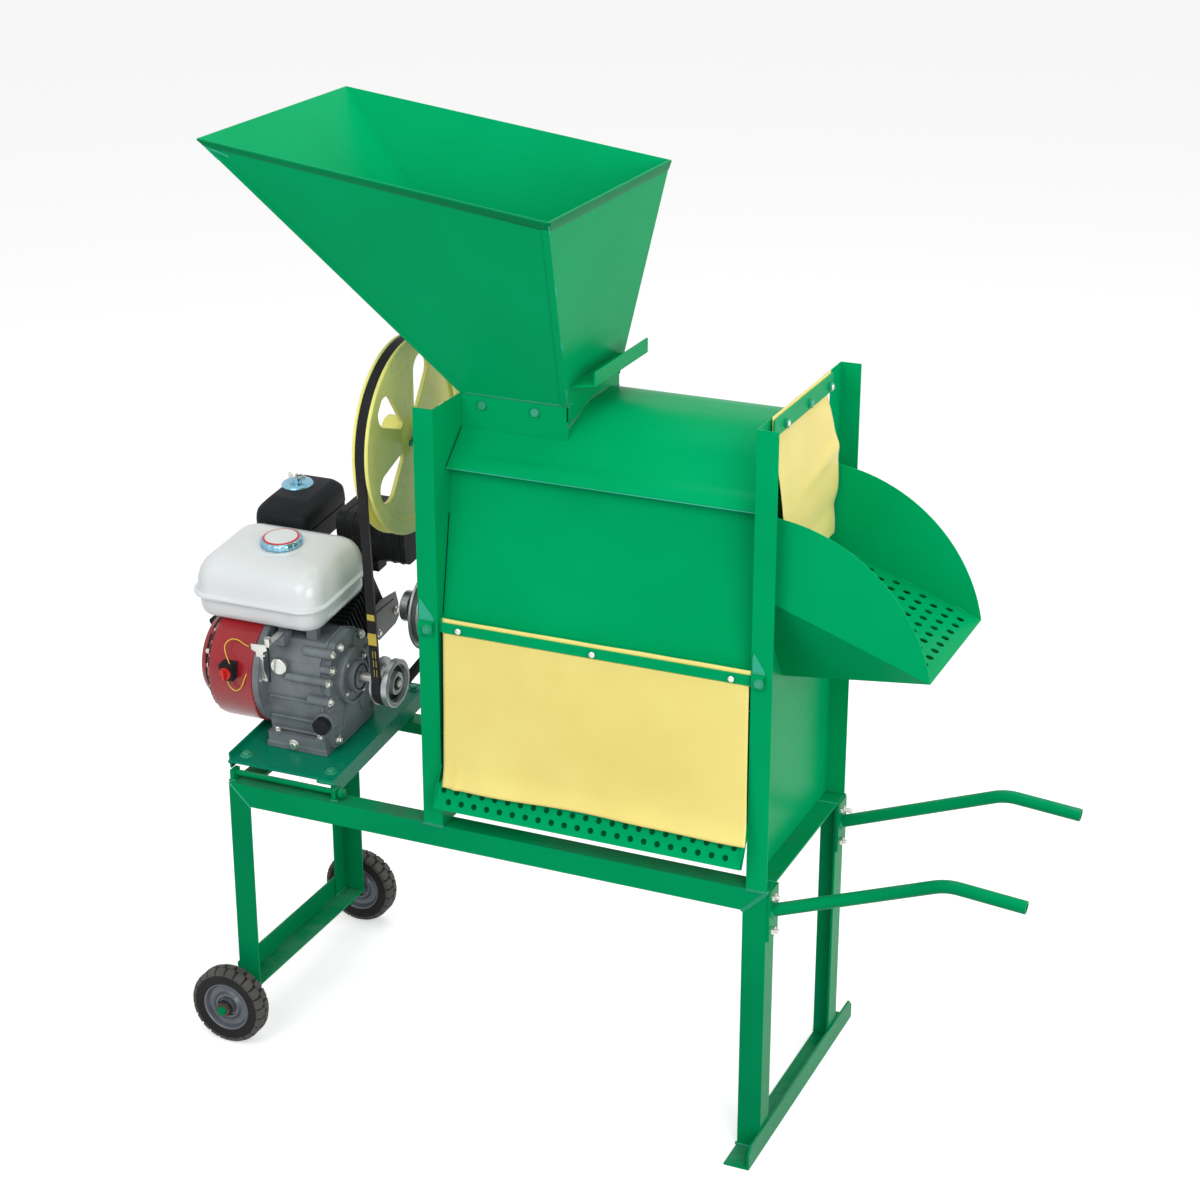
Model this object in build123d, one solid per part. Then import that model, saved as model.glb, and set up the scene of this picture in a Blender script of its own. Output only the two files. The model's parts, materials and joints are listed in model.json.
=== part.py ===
from build123d import *
from math import asin, atan2, cos, degrees, hypot, radians, sin, sqrt, tan
import os

# Corn sheller with its petrol engine. Millimetres, +Z up.
# Building coordinates: X runs from the engine end to the handles, Y from the near long side to the
# far one, Z up from the floor, with X = 0 and Y = 0 on the outer faces of the frame.
# At the end all pieces move together so that the origin is the middle of the footprint, on the floor.

# Frame of equal angle bars
FRAME_LENGTH = 980.0
FRAME_WIDTH = 381.0
FRAME_TOP = 477.0
ANGLE_LEG = 40.0
ANGLE_WALL = 4.0
CROSSBAR_TOP = 89.0
FOOT_OVERHANG = 61.0

# Transport wheels on one axle under the crossbar
WHEEL_RADIUS = 70.0
WHEEL_WIDTH = 36.0
WHEEL_RIM_RADIUS = 47.0
WHEEL_OFFSET = 29.0
AXLE_RADIUS = 8.0
AXLE_X = 8.0

# Handles of tube on bolted plates
TUBE_RADIUS = 10.65
TUBE_BORE_RADIUS = 8.35
HANDLE_PLATE = 5.0
HANDLE_NEAR_PATH = ((985.0, 437.0), (1262.0, 541.0), (1388.0, 530.0))
HANDLE_BEND = 90.0

# Sheet metal body
SHEET = 2.0
LEFT_WALL_X = 411.0
RIGHT_WALL_X = 945.0
WALL_FLANGE = 33.0
LEFT_WALL_TOP = 1196.5
RIGHT_WALL_TOP = 1235.0
HOOD_RADIUS = 136.0
HOOD_CENTRE_Z = 1049.0
HOOD_NEAR_CENTRE_Y = 198.5
HOOD_EAVE = (40.0, 1090.0)
HOOD_TANGENT_Y = 98.0
PANEL_TOP = (62.0, 1086.0)
PANEL_FOOT = (19.0, 847.0)

# Feed neck, slide gate and hopper
NECK = (411.0, 597.0, 98.0, 300.0)
NECK_TOP = 1197.0
NECK_RIGHT_TOP = 1224.0
GATE_RISE = 33.0
GATE_THICKNESS = 3.0
GATE_END_X = 640.0
HOPPER_RIM_LOW = (628.0, 1520.0)
HOPPER_RIM_HIGH = (36.0, 1594.0)
HOPPER_RIM_Y = (-35.0, 433.0)

# Cob outlet and chute
COB_WINDOW = (76.0, 330.0, 965.0, 1205.0)
CHUTE_Y = (25.0, 300.0)
CHUTE_TOP = (947.0, 963.0)
CHUTE_LIP = (1219.0, 866.0)
CHUTE_ARC_TOP = 1098.0
CHUTE_ARC_MID = (1135.0, 1020.0)
CHUTE_HOLE_RADIUS = 6.5
PAN_FOOT = (140.0, 186.0, 787.0)

# Threshing rotor, fan and belt drive
ROTOR_Y = 258.0
ROTOR_Z = 1056.0
ROTOR_SHAFT_RADIUS = 15.0
DRUM_RADIUS = 62.0
BEATER_RADIUS = 98.0
CONCAVE_RADIUS = 114.0
FAN_Y = 334.0
FAN_Z = 708.0
FAN_SHAFT_RADIUS = 10.0
FAN_RADIUS = 62.0
FAN_CASE_RADIUS = 86.0
BELT_X = 229.0
BELT_WIDTH = 17.0
BELT_HEIGHT = 11.0
DRUM_PULLEY_RADIUS = 170.0
FAN_PULLEY_RADIUS = 72.0
ENGINE_PULLEY_RADIUS = 42.0
PULLEY_WIDTH = 28.0
BELT_SIDE_GAP = 0.4
BELT_SINK = 1.0
VEE_ANGLE = 17.0
RUNNING_GAP = 0.05

# Engine on its tilted deck
DECK_TILT = 6.0
DECK_FRONT = (20.0, 509.0)
DECK_THICKNESS = 5.0
CRANK_Y = 158.0
CRANK_HEIGHT = 118.0
CRANK_RADIUS = 10.0

parts = {}


def block(x0, x1, y0, y1, z0, z1):
    """A box between two corners."""
    return Pos((x0 + x1) / 2, (y0 + y1) / 2, (z0 + z1) / 2) * Box(x1 - x0, y1 - y0, z1 - z0)


def rod_x(x0, x1, y, z, radius):
    """A round bar along X."""
    return Pos((x0 + x1) / 2, y, z) * Rot(0, 90, 0) * Cylinder(radius, x1 - x0)


def rod_y(y0, y1, x, z, radius):
    """A round bar along Y."""
    return Pos(x, (y0 + y1) / 2, z) * Rot(90, 0, 0) * Cylinder(radius, y1 - y0)


def rod_z(z0, z1, x, y, radius):
    """A round bar along Z."""
    return Pos(x, y, (z0 + z1) / 2) * Cylinder(radius, z1 - z0)


def prism_x(points, x0, x1):
    """A prism along X over a polygon of (y, z) points."""
    outline = make_face(Polyline([(x0, y, z) for y, z in points], close=True).edges())
    return extrude(outline, amount=x1 - x0, dir=(1, 0, 0))


def prism_y(points, y0, y1):
    """A prism along Y over a polygon of (x, z) points."""
    outline = make_face(Polyline([(x, y0, z) for x, z in points], close=True).edges())
    return extrude(outline, amount=y1 - y0, dir=(0, 1, 0))


def join(shapes):
    """Fuse a list of solids that touch or overlap."""
    result = shapes[0]
    for shape in shapes[1:]:
        result = result + shape
    return result


def bent_sheet(points, thickness):
    """The closed section of a bent sheet: its line, and the line moved to its left by the thickness."""
    moved = []
    last = len(points) - 1
    for i, (a, b) in enumerate(points):
        before = points[max(i - 1, 0)]
        after = points[min(i + 1, last)]
        if i == 0:
            before = (2 * a - after[0], 2 * b - after[1])
        if i == last:
            after = (2 * a - before[0], 2 * b - before[1])
        first = atan2(b - before[1], a - before[0])
        second = atan2(after[1] - b, after[0] - a)
        half = (second - first) / 2
        reach = thickness / cos(half)
        normal = first + half + radians(90)
        moved.append((a + reach * cos(normal), b + reach * sin(normal)))
    return list(points) + moved[::-1]


def arc_points(centre, radius, start, end, count):
    """Points on an arc, by formula, from one angle to another in degrees."""
    step = (end - start) / (count - 1)
    turns = [radians(start + i * step) for i in range(count)]
    return [(centre[0] + radius * cos(t), centre[1] + radius * sin(t)) for t in turns]


def hex_x(x0, x1, y, z, across):
    """A hexagonal head or nut along X."""
    head = extrude(RegularPolygon(across / 2, 6, major_radius=False), amount=x1 - x0)
    return Pos(x0, y, z) * Rot(0, 90, 0) * head


def hex_y(y0, y1, x, z, across):
    """A hexagonal head or nut along Y."""
    head = extrude(RegularPolygon(across / 2, 6, major_radius=False), amount=y1 - y0)
    return Pos(x, y0, z) * Rot(-90, 0, 0) * head


def far_side(shape):
    """The same piece on the other long side of the frame."""
    return mirror(shape, about=Plane.XZ.offset(-FRAME_WIDTH / 2))


# Frame: two long rails, two cross rails, four legs

def long_rail():
    """The near long rail: a top flange, and a side flange mitred at both ends onto the legs."""
    low = FRAME_TOP - ANGLE_LEG
    top = block(0, FRAME_LENGTH, 0, ANGLE_LEG, FRAME_TOP - ANGLE_WALL, FRAME_TOP)
    side = [(0, FRAME_TOP), (FRAME_LENGTH, FRAME_TOP), (FRAME_LENGTH - ANGLE_LEG, low), (ANGLE_LEG, low)]
    return top + prism_y(side, 0, ANGLE_WALL)


def cross_rails():
    """Both cross rails, butted between the long rails, with their side flanges at low X."""
    rails = []
    for x in (0, FRAME_LENGTH - ANGLE_LEG):
        top = block(x, x + ANGLE_LEG, ANGLE_LEG, FRAME_WIDTH - ANGLE_LEG, FRAME_TOP - ANGLE_WALL, FRAME_TOP)
        side = block(x, x + ANGLE_WALL, ANGLE_LEG, FRAME_WIDTH - ANGLE_LEG,
                     FRAME_TOP - ANGLE_LEG, FRAME_TOP - ANGLE_WALL)
        rails.append(top + side)
    return rails


def left_leg():
    """The near leg at the engine end, standing on the wheel crossbar."""
    low = FRAME_TOP - ANGLE_LEG
    under = FRAME_TOP - ANGLE_WALL
    outline = [(0, under), (ANGLE_WALL, under), (ANGLE_LEG, low), (ANGLE_LEG, CROSSBAR_TOP), (0, CROSSBAR_TOP)]
    face = prism_y(outline, 0, ANGLE_WALL)
    side = block(0, ANGLE_WALL, ANGLE_WALL, ANGLE_LEG, CROSSBAR_TOP, under)
    return face + side


def right_leg():
    """The near leg at the handle end, standing on the foot bar."""
    low = FRAME_TOP - ANGLE_LEG
    outer = FRAME_LENGTH
    inner = FRAME_LENGTH - ANGLE_LEG
    under = FRAME_TOP - ANGLE_WALL
    outline = [(outer, under), (outer - ANGLE_WALL, under), (inner, low), (inner, ANGLE_WALL), (outer, ANGLE_WALL)]
    face = prism_y(outline, 0, ANGLE_WALL)
    side = block(outer - ANGLE_WALL, outer, ANGLE_WALL, ANGLE_LEG, ANGLE_WALL, under)
    return face + side


def wheel_crossbar():
    """The angle bar between the left legs, one flange standing outside them."""
    floor = block(0, ANGLE_LEG, 0, FRAME_WIDTH, CROSSBAR_TOP - ANGLE_WALL, CROSSBAR_TOP)
    wall = block(-ANGLE_WALL, 0, 0, FRAME_WIDTH, CROSSBAR_TOP - ANGLE_WALL, CROSSBAR_TOP + ANGLE_LEG - ANGLE_WALL)
    return floor + wall


def foot_bar():
    """The angle bar on the floor under the right legs, with slanted ends."""
    near = -FOOT_OVERHANG
    far = FRAME_WIDTH + FOOT_OVERHANG + 17
    flat = block(FRAME_LENGTH - ANGLE_LEG, FRAME_LENGTH + ANGLE_WALL, near, far, 0, ANGLE_WALL)
    corner = 14.0
    wall = [(near, 0), (far, 0), (far, ANGLE_LEG - corner), (far - corner, ANGLE_LEG),
            (near + corner, ANGLE_LEG), (near, ANGLE_LEG - corner)]
    return flat + prism_x(wall, FRAME_LENGTH, FRAME_LENGTH + ANGLE_WALL)


parts["near_rail"] = long_rail()
parts["far_rail"] = far_side(long_rail())
parts["cross_rails"] = cross_rails()
parts["near_left_leg"] = left_leg()
parts["far_left_leg"] = far_side(left_leg())
parts["near_right_leg"] = right_leg()
parts["far_right_leg"] = far_side(right_leg())
parts["wheel_crossbar"] = wheel_crossbar()
parts["foot_bar"] = foot_bar()


# Wheels and axle

NEAR_WHEEL_Y = -WHEEL_OFFSET - WHEEL_WIDTH / 2
FAR_WHEEL_Y = FRAME_WIDTH + WHEEL_OFFSET + WHEEL_WIDTH / 2
HUB_HALF = WHEEL_WIDTH / 2 + 3


def wheel_axle():
    """The axle bar with two lugs welded to the underside of the crossbar."""
    reach = HUB_HALF + 12
    bar = rod_y(NEAR_WHEEL_Y - reach, FAR_WHEEL_Y + reach, AXLE_X, WHEEL_RADIUS, AXLE_RADIUS)
    low = WHEEL_RADIUS - 14
    lug = [(AXLE_X - 16, CROSSBAR_TOP - ANGLE_WALL), (AXLE_X + 22, CROSSBAR_TOP - ANGLE_WALL),
           (AXLE_X + 10, low), (AXLE_X - 10, low)]
    return bar + prism_y(lug, 4, 12) + prism_y(lug, FRAME_WIDTH - 12, FRAME_WIDTH - 4)


def wheel_rim(y):
    """A dished wheel centre with its hub, revolved about the axle."""
    bore = AXLE_RADIUS + RUNNING_GAP
    half = WHEEL_WIDTH / 2
    section = [(bore, -HUB_HALF), (17, -HUB_HALF), (19, -8), (34, -4), (40, -half + 2),
               (WHEEL_RIM_RADIUS, -half + 2), (WHEEL_RIM_RADIUS, half - 2), (40, half - 2), (34, 4),
               (19, 8), (17, HUB_HALF), (bore, HUB_HALF)]
    outline = make_face(Polyline([(r, w, 0) for r, w in section], close=True).edges())
    return Pos(AXLE_X, y, WHEEL_RADIUS) * revolve(outline, Axis.Y)


def tyre(y):
    """A solid rubber tyre with a rounded block tread."""
    half = WHEEL_WIDTH / 2
    section = [(WHEEL_RIM_RADIUS, -half + 2), (WHEEL_RIM_RADIUS + 3, -half), (61, -half), (67, -half + 4),
               (WHEEL_RADIUS, -half + 10), (WHEEL_RADIUS, half - 10), (67, half - 4), (61, half),
               (WHEEL_RIM_RADIUS + 3, half), (WHEEL_RIM_RADIUS, half - 2)]
    outline = make_face(Polyline([(r, w, 0) for r, w in section], close=True).edges())
    body = revolve(outline, Axis.Y)
    grooves = []
    lugs = 24
    for i in range(lugs):
        for side in (-1, 1):
            turn = (i + 0.25 * side) * 360 / lugs
            cut = Rot(0, turn, 0) * Pos(WHEEL_RADIUS, side * (half - 2), 0) * Box(7, 11, 3.2)
            grooves.append(cut)
    return Pos(AXLE_X, y, WHEEL_RADIUS) * (body - grooves)


parts["wheel_axle"] = wheel_axle()
parts["near_wheel_rim"] = wheel_rim(NEAR_WHEEL_Y)
parts["far_wheel_rim"] = wheel_rim(FAR_WHEEL_Y)
parts["near_tyre"] = tyre(NEAR_WHEEL_Y)
parts["far_tyre"] = tyre(FAR_WHEEL_Y)

NUT_GAP = 0.6
NUT_HEIGHT = 8.0
near_nut = NEAR_WHEEL_Y - HUB_HALF - NUT_GAP
far_nut = FAR_WHEEL_Y + HUB_HALF + NUT_GAP
nut_bore = rod_y(near_nut - 20, far_nut + 20, AXLE_X, WHEEL_RADIUS, AXLE_RADIUS)
parts["wheel_nuts"] = [
    hex_y(near_nut - NUT_HEIGHT, near_nut, AXLE_X, WHEEL_RADIUS, 24) - nut_bore,
    hex_y(far_nut, far_nut + NUT_HEIGHT, AXLE_X, WHEEL_RADIUS, 24) - nut_bore,
]


# Handles

HANDLE_BOLTS_Z = (464.0, 404.0)
HANDLE_PLATE_Z = (388.0, 476.0)


def handle(y, y_plate):
    """A bent tube welded to a bolted plate, open at its free end."""
    start, bend, end = [(x, y, z) for x, z in HANDLE_NEAR_PATH]
    rise = atan2(bend[2] - start[2], bend[0] - start[0])
    root = (start[0] - 14 * cos(rise), y, start[2] - 14 * sin(rise))
    path = FilletPolyline([root, bend, end], radius=HANDLE_BEND)
    mouth = Plane(origin=root, x_dir=(0, 1, 0), z_dir=(cos(rise), 0, sin(rise)))
    tube = sweep(mouth * (Circle(TUBE_RADIUS) - Circle(TUBE_BORE_RADIUS)), path=path)
    plate_x = FRAME_LENGTH + HANDLE_PLATE
    tube = tube - block(900, plate_x, y - 40, y + 40, 380, 640)
    plate = block(FRAME_LENGTH, plate_x, y_plate, y_plate + ANGLE_LEG, *HANDLE_PLATE_Z)
    holes = [rod_x(FRAME_LENGTH - 1, plate_x + 1, y_plate + 12, z, 4.2) for z in HANDLE_BOLTS_Z]
    return plate - holes + tube


NEAR_HANDLE_Y = 22.0
FAR_HANDLE_Y = FRAME_WIDTH - NEAR_HANDLE_Y
parts["near_handle"] = handle(NEAR_HANDLE_Y, 3)
parts["far_handle"] = handle(FAR_HANDLE_Y, FRAME_WIDTH - ANGLE_LEG - 3)

handle_bolts = []
for y_plate in (3, FRAME_WIDTH - ANGLE_LEG - 3):
    for z in HANDLE_BOLTS_Z:
        y = y_plate + 12
        plate_x = FRAME_LENGTH + HANDLE_PLATE
        handle_bolts.append(hex_x(plate_x, plate_x + 5.5, y, z, 13) + rod_x(FRAME_LENGTH, plate_x, y, z, 4.2))
parts["handle_bolts"] = handle_bolts


# Sheet metal body: two end walls, hood, front and rear panels

def end_wall(x_sheet, x_flange, top, openings):
    """A flat end sheet with both upright edges folded away from the drum."""
    sheet = block(x_sheet, x_sheet + SHEET, 0, FRAME_WIDTH, FRAME_TOP, top)
    low, high = sorted((x_flange, x_sheet + SHEET / 2))
    near = block(low, high, 0, SHEET, FRAME_TOP, top)
    far = block(low, high, FRAME_WIDTH - SHEET, FRAME_WIDTH, FRAME_TOP, top)
    wall = sheet + near + far
    for opening in openings:
        wall = wall - opening
    return wall


def left_end_wall():
    """The end wall beside the engine, with holes for the rotor shaft and the fan's air."""
    x = LEFT_WALL_X - SHEET
    shaft_hole = rod_x(x - 5, x + 10, ROTOR_Y, ROTOR_Z, 24)
    fan_eye = rod_x(x - 5, x + 10, FAN_Y, FAN_Z, 40)
    return end_wall(x, LEFT_WALL_X - SHEET - WALL_FLANGE, LEFT_WALL_TOP, [shaft_hole, fan_eye])


def right_end_wall():
    """The end wall beside the chute, with the cob window and the kernel return hole."""
    x = RIGHT_WALL_X
    y0, y1, z0, z1 = COB_WINDOW
    window = block(x - 5, x + 10, y0, y1, z0, z1)
    pan_y0, pan_y1, pan_z = PAN_FOOT
    top = CHUTE_TOP[1] - 12
    back = prism_x([(46, top), (279, top), (pan_y1 - 4, pan_z + 12), (pan_y0 + 4, pan_z + 12)], x - 5, x + 10)
    return end_wall(x, x + SHEET + WALL_FLANGE, RIGHT_WALL_TOP, [window, back])


HOOD_FAR_CENTRE_Y = FRAME_WIDTH - HOOD_RADIUS


def hood_line(inset):
    """The hood's section line from its eave over the drum to the rear, moved in by an inset."""
    radius = HOOD_RADIUS - inset
    lean = degrees(asin((HOOD_NEAR_CENTRE_Y - HOOD_TANGENT_Y) / HOOD_RADIUS))
    near = arc_points((HOOD_NEAR_CENTRE_Y, HOOD_CENTRE_Z), radius, 90 + lean, 90, 9)
    far = arc_points((HOOD_FAR_CENTRE_Y, HOOD_CENTRE_Z), radius, 90, 0, 13)
    eave = (HOOD_EAVE[0] + 0.75 * inset, HOOD_EAVE[1] - 0.75 * inset)
    return [eave] + near + far


def drum_hood():
    """The rounded cover over the drum, open under the feed neck."""
    section = hood_line(0) + hood_line(SHEET)[::-1]
    hood = prism_x(section, LEFT_WALL_X, RIGHT_WALL_X)
    x0, x1, y0, y1 = NECK
    return hood - block(x0 + SHEET, x1 - SHEET, y0 + SHEET, y1 - SHEET, 1080, 1260)


def front_panel():
    """The sloping front sheet, stepped out at its foot to carry the flap."""
    line = [PANEL_TOP, PANEL_FOOT, (5.2, 847), (5.2, 823)]
    return prism_x(bent_sheet(line, SHEET), LEFT_WALL_X, RIGHT_WALL_X)


def rear_panel():
    """The rear sheet, which runs on round the fan as its casing, with cheeks where it bulges."""
    face = FRAME_WIDTH
    case = arc_points((FAN_Y, FAN_Z), FAN_CASE_RADIUS, 56.9, -90, 15)
    line = [(face, HOOD_CENTRE_Z - 1), (face, case[0][1])] + case[1:]
    sheet = prism_x(bent_sheet(line[::-1], SHEET), LEFT_WALL_X, RIGHT_WALL_X)
    drum = rod_x(LEFT_WALL_X, RIGHT_WALL_X, FAN_Y, FAN_Z, FAN_CASE_RADIUS)
    cheeks = drum & (block(LEFT_WALL_X, LEFT_WALL_X + SHEET, face, face + 90, 500, 900)
                     + block(RIGHT_WALL_X - SHEET, RIGHT_WALL_X, face, face + 90, 500, 900))
    return sheet + cheeks


parts["left_end_wall"] = left_end_wall()
parts["right_end_wall"] = right_end_wall()
parts["drum_hood"] = drum_hood()
parts["front_panel"] = front_panel()
parts["rear_panel"] = rear_panel()


# Feed neck, slide gate and hopper

GATE_ANGLE = degrees(atan2(GATE_RISE, NECK[1] - NECK[0]))


def gate_height(x):
    """The height of the gate's underside at a place along X."""
    return NECK_TOP - 4 + (x - NECK[0]) * tan(radians(GATE_ANGLE))


def hopper_neck():
    """The square collar on the hood, with its higher right side and two ledges for the gate."""
    x0, x1, y0, y1 = NECK
    collar = block(x0, x1, y0, y1, 1090, NECK_TOP)
    collar = collar + block(x1 - SHEET, x1, y0 + SHEET, y1 - SHEET, 1150, NECK_RIGHT_TOP)
    collar = collar - block(x0 + SHEET, x1 - SHEET, y0 + SHEET, y1 - SHEET, 1000, 1300)
    under = hood_line(0) + [(FRAME_WIDTH, 1000), (HOOD_EAVE[0], 1000)]
    collar = collar - prism_x(under, x0 - 1, x1 + 1)
    left = x0 + SHEET
    right = x1 - SHEET
    gap = 0.4
    ledge = [(left, gate_height(left) - gap), (right, gate_height(right) - gap),
             (right, gate_height(right) - gap - 3), (left, gate_height(left) - gap - 3)]
    near = prism_y(ledge, y0 + SHEET, y0 + SHEET + 7)
    far = prism_y(ledge, y1 - SHEET - 7, y1 - SHEET)
    return collar + near + far


def slide_gate():
    """The sloping gate plate with its handle strip on edge at the outer end."""
    left = NECK[0] + SHEET + 1
    y0 = NECK[2] + SHEET + 1
    y1 = NECK[3] - SHEET - 1
    plate = [(left, gate_height(left)), (GATE_END_X, gate_height(GATE_END_X)),
             (GATE_END_X, gate_height(GATE_END_X) + GATE_THICKNESS), (left, gate_height(left) + GATE_THICKNESS)]
    low = gate_height(GATE_END_X)
    strip = block(GATE_END_X, GATE_END_X + GATE_THICKNESS, y0, y1 + 12, low, low + 24)
    return prism_y(plate, y0, y1) + strip


def hopper_body(inset, reach):
    """The hopper's form between rim and foot, moved in by an inset and run on past both ends."""
    x_low, z_low = HOPPER_RIM_LOW
    x_high, z_high = HOPPER_RIM_HIGH
    y_near, y_far = HOPPER_RIM_Y
    x0, x1, y0, y1 = NECK
    rim = [(x_high + inset, y_near + inset, z_high), (x_low - inset, y_near + inset, z_low),
           (x_low - inset, y_far - inset, z_low), (x_high + inset, y_far - inset, z_high)]
    foot = [(x0 + inset, y0 + inset, NECK_TOP), (x1 - inset, y0 + inset, NECK_TOP),
            (x1 - inset, y1 - inset, NECK_TOP), (x0 + inset, y1 - inset, NECK_TOP)]
    ends = []
    for part in (-reach, 1 + reach):
        ends.append([tuple(f + (r - f) * part for f, r in zip(foot[i], rim[i])) for i in range(4)])
    faces = [make_face(Polyline(points, close=True).edges()) for points in ends]
    return loft(faces, ruled=True)


def hopper():
    """The lopsided hopper: four sheet walls, the right one cut short above the gate."""
    walls = hopper_body(0, 0) - hopper_body(SHEET, 0.02)
    x0, x1, y0, y1 = NECK
    slot = prism_y([(x1 - 8, NECK_TOP - 9), (x1 + 20, NECK_TOP - 9), (x1 + 20, gate_height(x1 + 20) + 5),
                    (x1 - 8, gate_height(x1 - 8) + 5)], y0 + SHEET, y1 - SHEET)
    return walls - slot


parts["hopper_neck"] = hopper_neck()
parts["slide_gate"] = slide_gate()
parts["hopper"] = hopper()


# Grain outlet at the foot of the front: strip, flap and perforated tray

def clamp_strips():
    """The flat strips that clamp the grain flap and the cob curtain."""
    front = block(419, 947 - SHEET, -2.4, 0.6, 826, 843)
    outlet = block(953.3, 956.3, 48, 314, 1208, 1236)
    return [front, outlet]


def grain_flap():
    """The hanging flap over the grain outlet, curled out a little at its foot."""
    line = [(0.9, 824.9), (-2, 760), (-6, 690), (-11, 620), (-17.5, 566)]
    cloth = prism_x(bent_sheet(line[::-1], SHEET)[::-1], 420, 943)
    return cloth + rod_x(420, 943, -0.1, 824.9, SHEET / 2)


LIP_FOOT = (-30.0, 528.0)
LIP_TOP = (-14.0, 564.0)
LIP_DEPTH = 9.0
TRAY_END = (FAN_Y, FAN_Z - FAN_CASE_RADIUS)


def kernel_tray():
    """The sloping tray under the drum, which ends in a double lip whose face has two rows of holes."""
    back_foot = (LIP_FOOT[0] + LIP_DEPTH, LIP_FOOT[1] - LIP_DEPTH * 0.44)
    back_top = (LIP_TOP[0] + LIP_DEPTH, LIP_TOP[1] - LIP_DEPTH * 0.44 - 4)
    line = [back_top, back_foot, LIP_FOOT, LIP_TOP, (240, 617), (TRAY_END[0], TRAY_END[1] - 0.2)]
    tray = prism_x(bent_sheet([(y, z - SHEET) for y, z in line], SHEET), LEFT_WALL_X, RIGHT_WALL_X)
    ear = prism_x([LIP_FOOT, (-26, 548), (0, 590), (0, 560)], LEFT_WALL_X, LEFT_WALL_X + SHEET)
    other = prism_x([LIP_FOOT, (-26, 548), (0, 590), (0, 560)], RIGHT_WALL_X - SHEET, RIGHT_WALL_X)
    steep = degrees(atan2(LIP_TOP[1] - LIP_FOOT[1], LIP_TOP[0] - LIP_FOOT[0]))
    holes = []
    pitch = 23.0
    for row, along in enumerate((0.28, 0.74)):
        y = LIP_FOOT[0] + along * (LIP_TOP[0] - LIP_FOOT[0])
        z = LIP_FOOT[1] + along * (LIP_TOP[1] - LIP_FOOT[1])
        for i in range(22 + row):
            x = LEFT_WALL_X + 14 + (0.5 - 0.5 * row) * pitch + i * pitch
            holes.append(Pos(x, y, z) * Rot(steep, 0, 0) * Cylinder(5, 8))
    return tray - holes + ear + other


parts["clamp_strips"] = clamp_strips()
parts["grain_flap"] = grain_flap()
parts["kernel_tray"] = kernel_tray()


# Cob outlet: curtain, chute sides, perforated floor and the pan below it

def cob_curtain():
    """The hanging curtain over the cob window, bellied out towards the chute."""
    line = [(951.0, 1206.9), (958, 1165), (968, 1100), (974, 1040), (973, 978)]
    cloth = prism_y(bent_sheet(line, SHEET), 58, 294)
    return cloth + rod_y(58, 294, 952, 1206.9, SHEET / 2)


def chute_sides():
    """The two upright side plates of the chute, rounded at the top."""
    wall_x = RIGHT_WALL_X + SHEET
    lines = [Line(CHUTE_TOP, CHUTE_LIP), ThreePointArc(CHUTE_LIP, CHUTE_ARC_MID, (980, 1092)),
             Line((980, 1092), (wall_x, CHUTE_ARC_TOP)), Line((wall_x, CHUTE_ARC_TOP), CHUTE_TOP)]
    outline = Plane.XZ * make_face(lines)
    sides = []
    for y in (CHUTE_Y[0], CHUTE_Y[1]):
        plate = extrude(outline, amount=SHEET / 2, both=True)
        sides.append(Pos(0, y, 0) * plate)
    return sides


CHUTE_SLOPE = degrees(atan2(CHUTE_TOP[1] - CHUTE_LIP[1], CHUTE_LIP[0] - CHUTE_TOP[0]))
CHUTE_RUN = hypot(CHUTE_LIP[0] - CHUTE_TOP[0], CHUTE_TOP[1] - CHUTE_LIP[1])


def chute_floor():
    """The perforated floor of the chute, in staggered rows."""
    y0 = CHUTE_Y[0] + SHEET / 2
    y1 = CHUTE_Y[1] - SHEET / 2
    width = y1 - y0
    columns = 11
    rows = 9
    along = (CHUTE_RUN - 30) / columns
    across = (width - 26) / rows
    holes = []
    for i in range(columns):
        for j in range(rows):
            shift = 0.25 if i % 2 else -0.25
            holes.append((15 + (i + 0.5) * along, 13 + (j + 0.5 + shift) * across))
    sheet = Pos(CHUTE_RUN / 2, width / 2) * Rectangle(CHUTE_RUN, width)
    sheet = sheet - [Pos(x, y) * Circle(CHUTE_HOLE_RADIUS) for x, y in holes]
    place = Pos(CHUTE_TOP[0], y0, CHUTE_TOP[1]) * Rot(0, CHUTE_SLOPE, 0)
    return place * extrude(sheet, amount=SHEET)


def chute_pan():
    """The half pyramid under the chute floor that leads kernels back into the machine."""
    y0, y1 = CHUTE_Y
    foot_y0, foot_y1, foot_z = PAN_FOOT
    wall_x = CHUTE_TOP[0]
    lip_x, lip_z = CHUTE_LIP
    a = (wall_x, y0, CHUTE_TOP[1])
    b = (lip_x, y0, lip_z)
    c = (wall_x, foot_y0, foot_z)
    d = (wall_x, y1, CHUTE_TOP[1])
    e = (lip_x, y1, lip_z)
    f = (wall_x, foot_y1, foot_z)
    near = extrude(make_face(Polyline([a, b, c], close=True).edges()), amount=SHEET, dir=(0, 1, 0))
    far = extrude(make_face(Polyline([d, e, f], close=True).edges()), amount=SHEET, dir=(0, -1, 0))
    under = extrude(make_face(Polyline([b, e, f, c], close=True).edges()), amount=SHEET, dir=(0, 0, 1))
    pan = near + far + under
    above = prism_y([(wall_x - 1, CHUTE_TOP[1] - 0.3), (lip_x + 3, lip_z - 1.4), (lip_x + 3, 1100),
                     (wall_x - 1, 1100)], y0 - 5, y1 + 5)
    return pan - above


parts["cob_curtain"] = cob_curtain()
parts["chute_sides"] = chute_sides()
parts["chute_floor"] = chute_floor()
parts["chute_pan"] = chute_pan()


# Threshing rotor, its concave and its bearings

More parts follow.
